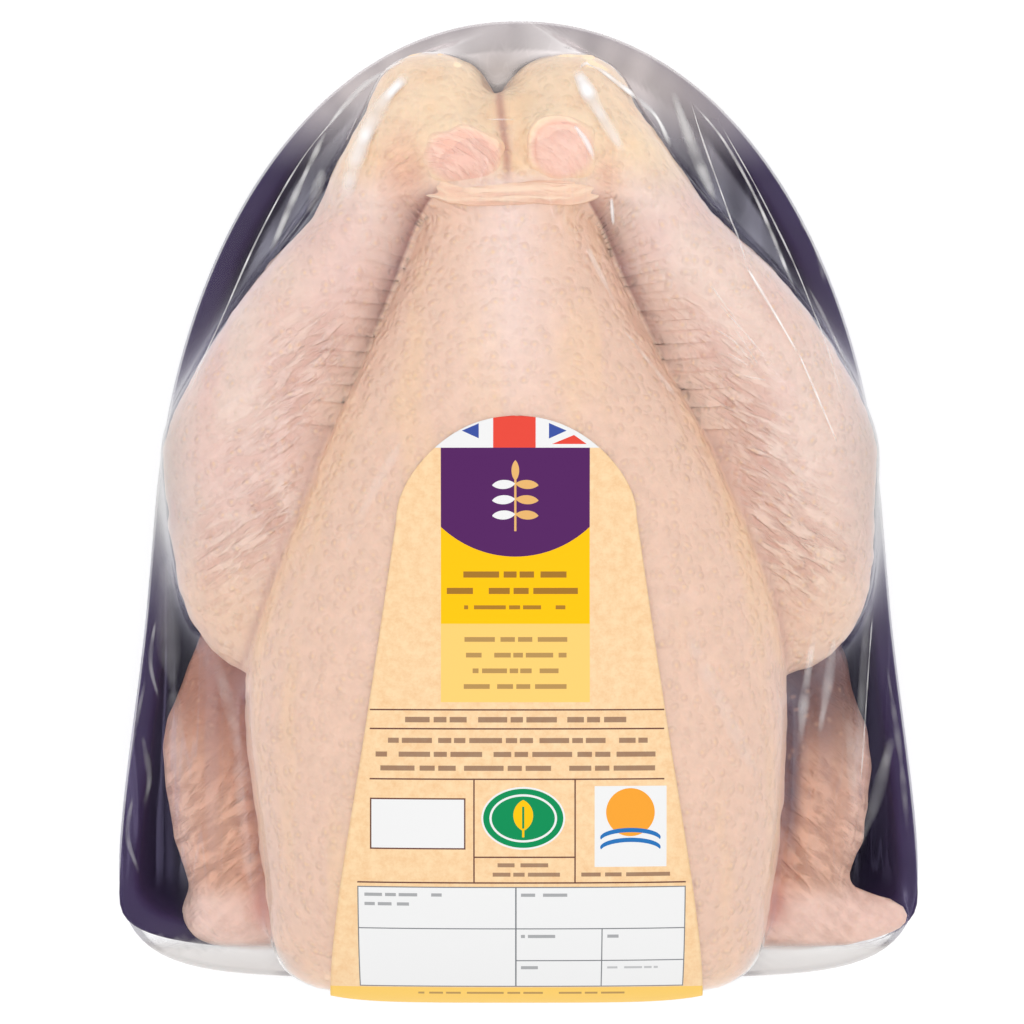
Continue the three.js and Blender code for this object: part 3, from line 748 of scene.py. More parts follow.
# ------------------------------------------------------------------ wings
# Each wing is folded flat against the side below the leg: browner skin in slanting ridges,
# with a pale smooth joint at the neck end. The right wing's tip sticks out past it.
WING = {
    "square": 2.3,
    "neck": (-121.5, (14, 2.6), (18, 2.4)),
    "leg": (-22, (24, 2.3), (24, 2.3)),
    "rows": [
        [-120, 74, 15, 33, 19, 22],
        [-103, 75, 16.5, 34, 22, 26],
        [-85, 78, 18.4, 35, 22, 28],
        [-62, 79.5, 17.6, 35, 20, 28],
        [-46, 77, 15.5, 34, 17, 26],
        [-22, 74, 13, 33, 15, 24],
    ],
}
WING_TIPS = {-1: ([-81, -112, 31], [12, 8.5, 11]), 1: ([84, -112, 40.5], [23.5, 8, 6.5])}


def to_wing(wing_side, p):
    """Signed distance, roughly, to a wing and its tip."""
    return blended([to_sections(WING, wing_side, p), to_lump(WING_TIPS[wing_side], p)], 6)


def wing_piece(name, wing_side):
    """A wing on rays from its own middle line, ridged aslant, and its tint with painted shade."""
    start, way = capsule_rays((-48, -104), 33, 26, 70, 84, 40)
    start[..., 0] += wing_side * 77
    radius = farthest(lambda p: (to_wing(wing_side, p) < 0) & in_tray(p), start, way,
                      reach=60, step=2)
    grid = start + radius[..., None] * way
    normal = grid_normals(grid)
    x, y = grid[..., 0] * wing_side, grid[..., 1]
    smooth_end = smooth_step(-y, 100, 109)
    lumpy = noise(grid, (6, 10, 6), 45)
    ribs = noise(slanting(x, y, 42, 4.2, 15, wing_side), (1, 1, 1), 43) * (1 - smooth_end)
    grid = grid + (0.5 * ribs + 0.5 * lumpy)[..., None] * normal
    base = srgb(228, 178, 152)
    dark = np.array(srgb(170, 114, 92) if wing_side < 0 else srgb(92, 52, 46))
    warm = srgb(232, 186, 160)
    pale = srgb(240, 205, 190)
    red = srgb(206, 120, 98)
    shadow_plum = np.array(srgb(150, 118, 112) if wing_side < 0 else srgb(86, 66, 78))
    # Painted shade: darker, and very dark on the right, where the wing runs in under the end of the
    # thigh.
    shaded_end = smooth_step(-y, 20, 34) * (1 - smooth_step(-y, 46, 88))
    colour = mixed(np.broadcast_to(base, grid.shape), dark, 0.95 * shaded_end)
    warmer = smooth_step(noise(grid, (9, 14, 9), 47), -0.2, 0.7)
    colour = mixed(colour, warm, 0.6 * warmer * (1 - 0.85 * shaded_end))
    blotch = smooth_step(noise(grid, (5, 6, 5), 48), 0.1, 0.7) * (1 - smooth_step(x, 64, 82))
    colour = mixed(colour, srgb(176, 118, 96), 0.4 * blotch * (1 - smooth_end))
    colour = mixed(colour, pale, 0.5 * smooth_step(x, 84, 95) * (1 - shaded_end))
    # Painted shadow: a dark plum band on the wing along the breast's edge, strongest on the right.
    reach = (72.5, 77) if wing_side < 0 else (76, 81)
    breast_shadow = 1 - smooth_step(x + 0.05 * (-y - 50), *reach)
    breast_shadow = breast_shadow * (1 - smooth_step(-y, 78, 100))
    colour = mixed(colour, shadow_plum, (0.55 if wing_side < 0 else 0.95) * breast_shadow)
    colour = mixed(colour, pale, 0.95 * smooth_end)
    sore = np.exp(-(((x - 70) / 3.5) ** 2 + ((y + 108) / 6) ** 2))
    colour = mixed(colour, red, 0.7 * sore)
    piece = mesh_object(name, with_poles(grid), tube_faces(*grid.shape[:2]))
    set_attribute(piece, "skin_tint", poles_too(colour))
    set_attribute(piece, "fold_place", poles_too(slanting(x, y, 42, 3.1, 9, 3 + wing_side)))
    set_attribute(piece, "fold_amount", poles_too(
        np.clip((0.3 + 0.4 * smooth_step(-y, 60, 82)) * (1 - 0.7 * smooth_end) + 0.15 * lumpy, 0, 1)))
    piece.data.materials.append(wing_skin)
    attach(piece, "root")


wing_skin, _, _ = skin_material(
    "wing skin", 0.0036, 0.35, 0.00035, srgb(226, 182, 150), 0.25, 0.4, srgb(152, 102, 84), 2.0)
wing_piece("wing_left", -1)
wing_piece("wing_right", 1)

# ------------------------------------------------------------------ hocks and skin strap
# The cut leg ends, bare pink joints wrapped in wrinkled skin, are tucked side by side under
# a strap of the bird's own belly skin, which is folded over them in three or four pleats.
HOCKS = {
    "hock_left": ([-14.8, 96.6, 78.3], [12.4, 9.2, 11.9]),
    "hock_right": ([11.8, 98.7, 78.3], [10.6, 9.9, 11.9]),
}
HOCK_SQUARE = 2.7


def ball(middle, radii, square, rows, columns):
    """Points of a squared-off ellipsoid: each direction's unit vector, scaled so that the
    sum of its components to the power square is 1, then by the radii. Its poles are at the
    top and bottom."""
    turn = np.linspace(2 * np.pi, 0, columns, endpoint=False)
    rise = np.linspace(0, np.pi, rows + 2)[1:-1]
    rise, turn = np.meshgrid(rise, turn, indexing="ij")
    unit = np.stack([np.sin(rise) * np.cos(turn), np.sin(rise) * np.sin(turn), np.cos(rise)], -1)
    power = np.sum(np.abs(unit) ** square, -1, keepdims=True) ** (-1 / square)
    normal = np.sign(unit) * np.abs(unit * power) ** (square - 1) / np.array(radii)
    normal = normal / np.linalg.norm(normal, axis=-1, keepdims=True)
    return np.array(middle) + np.array(radii) * unit * power, normal


def skin_lip(x, y, wander):
    """Relief in mm: a lip of skin round a joint's left and far sides, and a hollow in it."""
    edge = (np.abs(x / 10.4) ** 2.7 + np.abs(y / 9.8) ** 2.7) ** (1 / 2.7)
    far_side = smooth_step(y - x, -4, 6)
    lip = np.exp(-((edge - 0.84 + 0.04 * wander) / 0.06) ** 2)
    groove = np.exp(-((edge - 0.72 + 0.05 * wander) / 0.06) ** 2)
    return far_side * (lip - 0.6 * groove)


def hock_piece(name, middle, radii, lip, folds, seed):
    """One leg end: a squared-off ball with a lip of skin, and folds in arcs round its inner
    lower corner."""
    grid, normal = ball(middle, radii, HOCK_SQUARE, 70, 150)
    x, y = grid[..., 0] - middle[0], grid[..., 1] - middle[1]
    wander = noise(grid, (5, 4, 5), seed)
    relief = lip * skin_lip(x, y, wander)
    shrink = 1 - 0.10 * np.exp(-(((np.arctan2(y, x) - 0.75) / 0.5) ** 2))
    centre = np.array(middle[:2])
    grid[..., :2] = centre + (grid[..., :2] - centre) * shrink[..., None]
    grid = grid + (0.42 * relief + 0.6 * wander)[..., None] * normal
    pink = srgb(250, 208, 190)
    deep = srgb(242, 186, 166)
    rim = srgb(255, 224, 190)
    # Painted shade in the hollow inside the lip and a painted highlight along the lip; the rim colour
    # also fades the edge into the skin round it, and the deep pink also comes in random patches.
    colour = mixed(np.broadcast_to(pink, grid.shape), deep, 0.7 * smooth_step(-relief, 0.1, 0.6))
    colour = mixed(colour, rim, 0.55 * smooth_step(relief, 0.2, 0.9))
    colour = mixed(colour, deep, 0.35 * smooth_step(wander, 0, 0.7))
    edge = smooth_step(np.hypot(x / radii[0], y / radii[1]), 0.66, 0.98)
    colour = mixed(colour, rim, 0.9 * edge)
    reach = np.hypot(x + 10.5, (y + 10.5) * 1.15)
    arcs = np.stack([reach / 1.7, np.arctan2(y + 10.5, x + 10.5) * 2.2, 0 * x + seed], -1)
    piece = mesh_object(name, with_poles(grid), tube_faces(*grid.shape[:2]))
    set_attribute(piece, "skin_tint", poles_too(colour))
    set_attribute(piece, "fold_place", poles_too(arcs))
    set_attribute(piece, "fold_amount",
                  poles_too(folds * smooth_step(reach, 4, 9) * (1 - 0.6 * edge)))
    piece.data.materials.append(hock_skin)
    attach(piece, "root")


hock_skin, _, _ = skin_material(
    "hock skin", 0.0022, 0.5, 0.00012, srgb(250, 214, 190), 0.15, 0.36, srgb(234, 172, 150), 4.0)
hock_piece("hock_left", *HOCKS["hock_left"], 0, 0.6, 51)
hock_piece("hock_right", *HOCKS["hock_right"], 1, 0.35, 54)

# Along the strap from 0 to 1: its middle line's x and y, its height above the skin under
# it, and its half width.
STRAP_PATH = [[0, -32, 92.5, -2.6, 2.6], [0.12, -28.6, 89.4, -2.0, 3.2], [0.3, -19, 87, -1.1, 3.5],
              [0.5, -5, 86.7, -0.8, 3.5], [0.7, 8, 86.6, -0.9, 3.5], [0.88, 18.5, 87.2, -1.7, 3.2],
              [1, 24, 89, -2.8, 2.6]]
STRAP_HALF_THICKNESS = 1.6


def strap_piece():
    """A flattened rounded band carried along the skin, folded lengthwise, tapered at both
    ends, which sink into the skin."""
    t = np.linspace(0, 1, 240)
    x, y, above_skin, half_width = along(STRAP_PATH, t)
    start = np.stack([x, y, np.full(t.shape, 50.0)], -1)
    up = np.broadcast_to([0.0, 0.0, 1.0], start.shape)
    z = 50 + farthest(lambda p: to_body(p) < 0, start, up, reach=60)
    z = np.convolve(np.concatenate([[z[0]] * 12, z, [z[-1]] * 12]), np.ones(25) / 25, "valid")
    path = np.stack([x, y, z + above_skin], -1)
    heading = np.gradient(path, axis=0)
    heading /= np.linalg.norm(heading, axis=1, keepdims=True)
    broad = np.cross([0, 0.25, 1], heading)
    broad /= np.linalg.norm(broad, axis=1, keepdims=True)
    thick = np.cross(heading, broad)
    turn = np.linspace(0, 2 * np.pi, 90, endpoint=False)
    u, v = np.cos(turn), np.sin(turn)
    taper = (rounded(t, 0.16, 2) * rounded(1 - t, 0.16, 2))[:, None]
    across = np.sign(u) * np.abs(u) ** 0.8
    ground = np.stack(np.broadcast_arrays(t[:, None] * 62, u * 3.5, 0 * t[:, None]), -1)
    waver = noise(ground, (12, 1.6, 1), 62)
    top = smooth_step(v, 0, 0.5)
    edge = 0.9 * noise(ground, (5, 9, 1), 63)
    grid = (path[:, None] + broad[:, None] * ((across * half_width[:, None] + edge) * taper)[..., None]
            + thick[:, None] * ((v * STRAP_HALF_THICKNESS + 0.5 * top * waver) * taper)[..., None])
    skin = srgb(254, 222, 196)
    shade = srgb(246, 202, 172)
    # Painted shade in the troughs along the strap's top and along its edge on the breast side.
    colour = mixed(np.broadcast_to(skin, grid.shape), shade, 0.5 * top * smooth_step(-waver, 0, 0.8))
    colour = mixed(colour, shade, 0.8 * smooth_step(np.abs(u), 0.93, 1) * (u < 0))
    lengthwise = np.stack(np.broadcast_arrays(across * 1.5, t[:, None] * 4.4, 9.0), -1)
    piece = mesh_object("skin_strap", with_poles(grid), tube_faces(*grid.shape[:2]))
    set_attribute(piece, "skin_tint", poles_too(colour))
    set_attribute(piece, "fold_place", poles_too(lengthwise))
    set_attribute(piece, "fold_amount",
                  poles_too(0.75 * top * (0.3 + 0.7 * np.sin(np.pi * t[:, None]))))
    piece.data.materials.append(hock_skin)
    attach(piece, "root")


strap_piece()

# ------------------------------------------------------------------ film
# One bag of clear shrink film, drawn tight by heat over the bird and round the tray: it
# spans every hollow in a straight pull and lies on what stands proud.
FILM = {"leg_end": 136, "neck_end": -129.5, "middle": 101.8, "neck": 111.5}
FILM_NECK_ROUND = (60, 6)
FILM_BELT_TOP = 34
FILM_FOOT_ROUND = 5
FILM_SEAM_HEIGHT, FILM_SEAM_HALF = 32, 7
FILM_SKIRT_LEAN = 0.75
FILM_CLEARANCE = 0.9
STRAP_LUMP = ([-3, 86, 79], [28, 5.0, 10.6])


def film_belt(p):
    """Whether points lie inside the belt and skirt of film: it lies on the tray's leaning
    wall, turns under its foot, leans in above the rim, and stands out at the neck end in a
    bunched seam at the rim's height."""
    y, z = p[..., 1], p[..., 2]
    below = TRAY_LEAN * (1 - z / TRAY_HEIGHT) * smooth_step(TRAY_HEIGHT - z, 0, 6)
    into_foot = np.clip(FILM_FOOT_ROUND - z, 0, FILM_FOOT_ROUND)
    below += FILM_FOOT_ROUND - np.sqrt(FILM_FOOT_ROUND ** 2 - into_foot ** 2)
    inset = np.where(z < TRAY_HEIGHT, below, np.clip(z - FILM_BELT_TOP, 0, None) * FILM_SKIRT_LEAN)
    seam = np.exp(-((z - FILM_SEAM_HEIGHT) / FILM_SEAM_HALF) ** 2)
    drawn_in = (TRAY["neck_end"] - 1 - FILM["neck_end"]) * (1 - seam) * smooth_step(-y, 100, 118)
    half_width = bell_half_width(FILM, FILM_NECK_ROUND, inset, y - drawn_in)
    return (np.abs(p[..., 0]) < half_width) & (z < FILM_BELT_TOP + 1)


def under_film(p):
    """Whether points lie in the bird or in the belt of film round the tray."""
    near = np.abs(p[..., 0]) > 40
    bird = to_body(p)
    bird = np.minimum(bird, np.where(near, to_wing(-1, p), 99))
    bird = np.minimum(bird, np.where(near, to_wing(1, p), 99))
    for lump in HOCKS.values():
        bird = np.minimum(bird, to_lump(lump, p))
    bird = np.minimum(bird, to_lump(STRAP_LUMP, p))
    over_rim = (bird < FILM_CLEARANCE) & (p[..., 2] > TRAY_HEIGHT)
    return (p[..., 2] > 0.05) & (film_belt(p) | over_rim)


def pulled_tight(start, way, held, passes):
    """The radius of a stretched skin on rays: again and again each point moves towards the
    mean of its four neighbours, by as much as lies along the skin's normal, but never in
    past the radius held by what is under it, nor down through the floor."""
    to_floor = (start[..., 2] - 0.05) / np.maximum(-way[..., 2], 1e-3)
    most = np.where(way[..., 2] < -1e-3, to_floor, 1e3)
    radius = np.minimum(held, most)
    for count in range(passes):
        points = start + radius[..., None] * way
        first, last = points[:1].mean(1, keepdims=True), points[-1:].mean(1, keepdims=True)
        above = np.concatenate([np.broadcast_to(first, points[:1].shape), points[:-1]])
        below = np.concatenate([points[1:], np.broadcast_to(last, points[-1:].shape)])
        mean = (above + below + np.roll(points, 1, 1) + np.roll(points, -1, 1)) / 4
        if count % 6 == 0:
            normal = grid_normals(points)
            facing = np.maximum(np.sum(normal * way, -1), 0.35)
        radius = radius + np.sum((mean - points) * normal, -1) / facing
        radius = np.minimum(np.maximum(held, radius), most)
    return radius


FILM_AXIS = (62, -66)
FILM_AXIS_HEIGHT = 31
FILM_CAPS, FILM_MIDDLE, FILM_ABOVE, FILM_BELOW = 60, 116, 236, 120
film_start, film_way = capsule_rays(FILM_AXIS, FILM_AXIS_HEIGHT, FILM_CAPS, FILM_MIDDLE,
                                    FILM_ABOVE, FILM_BELOW)
film_held = farthest(under_film, film_start, film_way)
film_radius = pulled_tight(film_start, film_way, film_held, 220)
film_grid = film_start + film_radius[..., None] * film_way
film = mesh_object("film", with_poles(film_grid), tube_faces(*film_grid.shape[:2]))


def bell_inset(bell, neck_round, x, y, most=45):
    """How far inside a bell outline the points (x, y) lie, up to most, by halving."""
    low, high = np.zeros(x.shape), np.full(x.shape, float(most))
    for _ in range(14):
        half = (low + high) / 2
        hit = np.abs(x) < bell_half_width(bell, neck_round, half, y)
        low, high = np.where(hit, half, low), np.where(hit, high, half)
    return low


def film_haze():
    """Share of light that the film itself throws back: little where it lies on the bird,
    more where two layers cling together inside the rim or span a gap, and most where it is
    bunched in radiating pleats at the leg end and along the seam at the neck end."""
    x, y, z = film_grid[..., 0], film_grid[..., 1], film_grid[..., 2]
    drawn = noise(film_grid, (5, 60, 40), 71)
    cloud = noise(film_grid, (16, 40, 30), 72)
    around = np.arctan2(x, np.maximum(y - 40, 1))
    pleats = noise(np.stack([40 * around, y / 30, z / 30], -1), (2.2, 1, 1), 73)
    off_bird = to_body(film_grid)
    spanning = smooth_step(off_bird, 1.2, 6)
    inside_rim = smooth_step(film_inset, 8.2, 9.2) * (1 - smooth_step(film_inset, 20, 40)) * spanning
    above_rim = smooth_step(z, 31, 36)
    leg_end = smooth_step(y, 92, 119) * (0.12 + 0.88 * above_rim)
    neck_end = smooth_step(-y, 118.5, 122) * smooth_step(z, 18, 30)
    haze = 0.004 + 0.005 * (1 + cloud)
    haze += inside_rim * 0.17 * smooth_step(y, -20, 40) * (1 + 0.7 * drawn)
    haze += (0.54 * leg_end * (1 + 0.2 * cloud + 0.16 * pleats)
             * (0.18 + 0.82 * smooth_step(off_bird, 0.9, 2.4)))
    haze += 0.7 * neck_end * smooth_step(np.abs(x), 58, 70)
    haze += 0.26 * beside_legs() * (1 + 0.3 * cloud)
    return np.clip(haze, 0, 0.9)


def beside_legs():
    """Where the film is creased and milky between the rim and the thick of each leg."""
    x, y = film_grid[..., 0], film_grid[..., 1]
    reach = smooth_step(y, -34, 6) * (1 - smooth_step(y, 14, 54))
    return reach * smooth_step(np.abs(x), 84, 100) * smooth_step(film_grid[..., 2], 18, 36)


def film_tone():
    """Colour of what the film throws back: cool at the sides, over the dark tray, warm at
    the leg end, and nearly white at the neck end."""
    y = film_grid[..., 1]
    tone = np.broadcast_to(np.array([0.66, 0.65, 0.80]), film_grid.shape)
    tone = mixed(tone, np.array([0.82, 0.74, 0.74]), smooth_step(y, 84, 120))
    between = (np.exp(-((film_grid[..., 0] + 4) / 11) ** 2) * smooth_step(y, 104, 111)
               * (1 - smooth_step(y, 120, 130)))
    tone = mixed(tone, np.array([0.62, 0.52, 0.48]), between)
    tone = mixed(tone, np.array([0.60, 0.59, 0.58]), beside_legs())
    beside_wings = smooth_step(np.abs(film_grid[..., 0]), 90, 97) * smooth_step(-y, 20, 56)
    tone = mixed(tone, np.array([0.44, 0.38, 0.68]), beside_wings)
    return mixed(tone, np.array([0.84, 0.81, 0.79]), smooth_step(-y, 112, 120))


def film_crinkle():
    """How much fine crinkles show: most on the slack film between the wings and the rim, a
    little along the legs, hardly any on the taut breast."""
    x, y = film_grid[..., 0], film_grid[..., 1]
    beside = (smooth_step(np.abs(x), 74, 86) * smooth_step(-y, -10, 25)
              * (1 - smooth_step(-y, 96, 106)))
    slack = beside * (1 - 0.75 * (to_body(film_grid) < 2)) * (1 - 0.6 * smooth_step(x, 80, 90))
    leg_end = 0.35 * smooth_step(y, 40, 90) * smooth_step(film_inset, 4, 9)
    return np.clip(slack + leg_end, 0, 1)


film_inset = bell_inset(FILM, FILM_NECK_ROUND, film_grid[..., 0], film_grid[..., 1])
set_attribute(film, "crinkle", poles_too(film_crinkle()))
set_attribute(film, "haze", poles_too(film_haze()))
set_attribute(film, "tone", poles_too(film_tone()))


def crinkle_group():
    """Shader group for slack film: Lines are thin drawn creases, where a stretched noise
    passes its middle value, and Patches are the broad dull folds between them. The film
    material whitens both, as painted highlights for the light that crinkled film catches."""
    group = bpy.data.node_groups.new("crinkled film", "ShaderNodeTree")
    group.interface.new_socket("Lines", in_out="OUTPUT", socket_type="NodeSocketFloat")
    group.interface.new_socket("Patches", in_out="OUTPUT", socket_type="NodeSocketFloat")
    sink = group.nodes.new("NodeGroupOutput")
    place = add_node(group, "ShaderNodeTexCoord").outputs["Object"]
    drawn = add_node(group, "ShaderNodeVectorMath", {0: place, 1: (120, 7, 30)},
                     operation="MULTIPLY")
    folds = add_node(group, "ShaderNodeTexNoise",
                     {"Vector": drawn.outputs[0], "Scale": 1, "Detail": 2, "Distortion": 0.3})
    off_middle = maths(group, "ABSOLUTE", maths(group, "SUBTRACT", folds.outputs["Fac"], 0.5))
    lines = add_node(group, "ShaderNodeMapRange",
                     {"Value": off_middle, "From Min": 0.0, "From Max": 0.022,
                      "To Min": 1.0, "To Max": 0.0}, interpolation_type="SMOOTHSTEP")
    patches = add_node(group, "ShaderNodeMapRange",
                       {"Value": folds.outputs["Fac"], "From Min": 0.48, "From Max": 0.68},
                       interpolation_type="SMOOTHSTEP")
    group.links.new(lines.outputs[0], sink.inputs["Lines"])
    group.links.new(patches.outputs[0], sink.inputs["Patches"])
    return group


crinkled_film = crinkle_group()


def film_material(name, rough, gloss):
    """Clear film: see-through, brighter at a slant by gloss, and milky, in its own tone, by
    its haze mask, and whitened in its crinkles as painted highlights."""
    material, tree, shader = new_material(name)
    output = tree.nodes["Material Output"]
    folds = add_node(tree, "ShaderNodeGroup", node_tree=crinkled_film)
    # Painted highlights: the crinkles' lines and patches add white to the haze.
    patches = maths(tree, "MULTIPLY_ADD", folds.outputs["Patches"], 0.08, 0.0)
    crinkle_highlights = maths(tree, "MULTIPLY_ADD", folds.outputs["Lines"], 0.1, patches)
    haze = maths(tree, "MULTIPLY_ADD", crinkle_highlights, stored(tree, "crinkle"), stored(tree, "haze"))
    facing = add_node(tree, "ShaderNodeFresnel", {"IOR": 1.22})
    mirror = maths(tree, "MINIMUM", maths(tree, "MULTIPLY", facing.outputs[0], gloss), 0.5)
    seen = maths(tree, "ADD", mirror, haze, clamp=True)
    metal = maths(tree, "DIVIDE", mirror, seen, clamp=True)
    clear = add_node(tree, "ShaderNodeBsdfTransparent")
    join = add_node(tree, "ShaderNodeMixShader", {0: seen})
    tree.links.new(clear.outputs[0], join.inputs[1])
    tree.links.new(shader.outputs[0], join.inputs[2])
    tree.links.new(join.outputs[0], output.inputs["Surface"])
    tree.links.new(metal, shader.inputs["Metallic"])
    tree.links.new(stored(tree, "tone", "Vector"), shader.inputs["Base Color"])
    place = add_node(tree, "ShaderNodeTexCoord").outputs["Object"]
    drawn = add_node(tree, "ShaderNodeVectorMath", {0: place, 1: (70, 8, 70)}, operation="MULTIPLY")
    ripple = add_node(tree, "ShaderNodeTexNoise", {"Vector": drawn.outputs[0], "Scale": 1, "Detail": 3})
    bump = add_node(tree, "ShaderNodeBump",
                    {"Height": ripple.outputs["Fac"], "Strength": 0.5, "Distance": 0.0008})
    tree.links.new(bump.outputs[0], shader.inputs["Normal"])
    uneven = add_node(tree, "ShaderNodeMapRange",
                      {"Value": ripple.outputs["Fac"], "To Min": rough, "To Max": rough + 0.08})
    tree.links.new(uneven.outputs[0], shader.inputs["Roughness"])
    return material


film.data.materials.append(film_material("clear film", 0.05, 1.3))
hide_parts("wrapped_bird")
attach(film, "root")

# ------------------------------------------------------------------ film crease highlights
# Where the film is drawn in to the leg end and past the rim it folds on itself in fine
# taut creases and soft bands. Strips along them are whitened as painted highlights, for the
# long glints that the lights make on them. Each runs through its points [x, y] in mm, as seen
# from above, and has a half width in mm and a whiteness.
CREASE_HIGHLIGHTS = [
    ([[-30, 120], [-38, 110.5], [-44.5, 96], [-47.3, 83.5]], 2.8, 0.85),
    ([[-31, 124], [-41.5, 119], [-48.5, 112], [-54, 105]], 0.8, 0.85),
    ([[-53, 106], [-59, 93.5], [-64, 82.5], [-69, 70]], 1.1, 0.5),
    ([[-47, 113.5], [-60, 97.5], [-72, 76], [-84, 48], [-92, 29]], 0.28, 0.75),
    ([[-44.5, 109.5], [-47.5, 101]], 0.3, 0.5),
    ([[-54, 95], [-57.5, 81]], 1.7, 0.3),
    ([[15.6, 121], [21.3, 110], [29, 97]], 2.2, 0.9),
    ([[15.8, 120.5], [19, 122.8], [28.5, 116.4], [37.5, 110], [42.6, 99.5]], 0.9, 0.95),
    ([[47.6, 114], [50.8, 103.5], [58.6, 80.5], [63, 64]], 0.32, 0.85),
    ([[62, 67], [69.5, 54.5], [76.5, 42.5]], 0.5, 0.85),
    ([[76, 44], [82.3, 29.5], [87.5, 17.5]], 0.28, 0.7),
    ([[47.6, 114], [56.7, 103], [66.8, 84.5], [78.2, 56]], 0.65, 0.65),
    ([[55, 109], [66.8, 88], [79, 61.8], [90, 26]], 0.26, 0.75),
    ([[42.5, 117], [47.4, 103], [55, 84]], 1.5, 0.42),
    ([[15, 105], [18.3, 100.5], [20.8, 95]], 0.8, 0.7),
    ([[25.2, 85.5], [25.8, 77.5]], 0.5, 0.6),
    ([[-9, 106.7], [-0.5, 106.7]], 0.3, 0.45),
    ([[78, 81], [82, 75], [85, 63]], 1.0, 0.2),
    ([[80, 62.5], [87, 48.5], [93.5, 32]], 0.6, 0.4),
    ([[98, -26], [96.4, -49], [94, -80]], 0.28, 0.45),
    ([[96.5, -22], [95, -49], [92.6, -84]], 1.7, 0.12),
    ([[103.6, -62], [99.5, -77], [94, -93]], 1.9, 0.17),
    ([[102, -42], [106, -69], [108, -90]], 0.9, 0.12),
    ([[81, -32], [78.5, -50], [77, -66]], 1.5, 0.26),
    ([[86.5, -34], [85, -48], [82.5, -62]], 1.5, 0.24),
    ([[91, -57], [92.5, -84]], 2.2, 0.12),
    ([[-103.3, -46], [-107.8, -67], [-110.6, -87]], 1.2, 0.15),
    ([[-104.2, -62], [-102.2, -74], [-103.8, -82]], 1.0, 0.15),
    ([[-107, -79], [-108.4, -90], [-105, -101]], 0.8, 0.2),
    ([[-100.6, -30], [-102, -42], [-99.6, -52]], 0.8, 0.25),
    ([[-95.5, -48], [-93.5, -77]], 2.4, 0.1),
    ([[-84, -37], [-76.4, -66], [-76, -80], [-71.5, -110]], 2.4, 0.12),
    ([[-97, -12], [-97, -34], [-95, -52]], 3.0, 0.12),
    ([[44.5, -31], [65.5, -74]], 2.4, 0.12),
    ([[18.5, 72], [23, 63], [26.5, 56]], 0.9, 0.22),
    ([[28, 50], [36, 40], [44, 29.5]], 0.8, 0.2),
    ([[-31, 20], [-41, 2], [-48, -14]], 1.6, 0.14),
    ([[52, 62], [60, 51]], 0.35, 0.35),
    ([[54, 57], [63, 47], [67, 42]], 0.3, 0.35),
    ([[53, 50], [59, 46], [65, 38.5]], 0.35, 0.3),
    ([[57, 43], [63, 39.5]], 0.3, 0.35),
    ([[59, 49.5], [65.5, 39.5]], 0.3, 0.3),
    ([[61, 37], [68, 35.5]], 0.3, 0.25),
]
CREASE_LIFT = 0.12
CREASE_RIDGE = 0.1
CREASE_STEPS = 90
CREASE_ACROSS = 9


def film_reach(p):
    """How far p is from the film's axis, less how far the film is from it that way: below 0
    inside the film. The film's own radii are read between the four nearest rays."""
    x, y, z = p[..., 0], p[..., 1], p[..., 2] - FILM_AXIS_HEIGHT
    leg_y, neck_y = FILM_AXIS
    past_leg, past_neck = np.clip(y - leg_y, 0, None), np.clip(neck_y - y, 0, None)
    ring = np.hypot(x, z)
    reach = np.hypot(ring, past_leg + past_neck)
    tilt_leg = np.arctan2(ring, past_leg) / (np.pi / 2)
    tilt_neck = np.arctan2(past_neck, ring) / (np.pi / 2)
    level = np.clip((leg_y - y) / (leg_y - neck_y), 0, 1)
    row = FILM_CAPS * tilt_leg - 1 + FILM_MIDDLE * level + FILM_CAPS * tilt_neck
    turn = np.mod(np.arctan2(z, x), 2 * np.pi) / np.pi
    column = np.where(turn < 1, turn * FILM_ABOVE, FILM_ABOVE + (turn - 1) * FILM_BELOW)
    row = np.clip(row, 0, film_radius.shape[0] - 1.001)
    i, j = row.astype(int), column.astype(int) % film_radius.shape[1]
    f, g = row - i, column - np.floor(column)
    k = (j + 1) % film_radius.shape[1]
    near = film_radius[i, j] * (1 - g) + film_radius[i, k] * g
    far = film_radius[i + 1, j] * (1 - g) + film_radius[i + 1, k] * g
    return reach - (near * (1 - f) + far * f)


def film_height(x, y):
    """Height of the film over (x, y), by halving between the axis and well above it."""
    low, high = np.full(x.shape, float(FILM_AXIS_HEIGHT)), np.full(x.shape, 130.0)
    for _ in range(16):
        half = (low + high) / 2
        inside = film_reach(np.stack([x, y, half], -1)) < 0
        low, high = np.where(inside, half, low), np.where(inside, high, half)
    return low


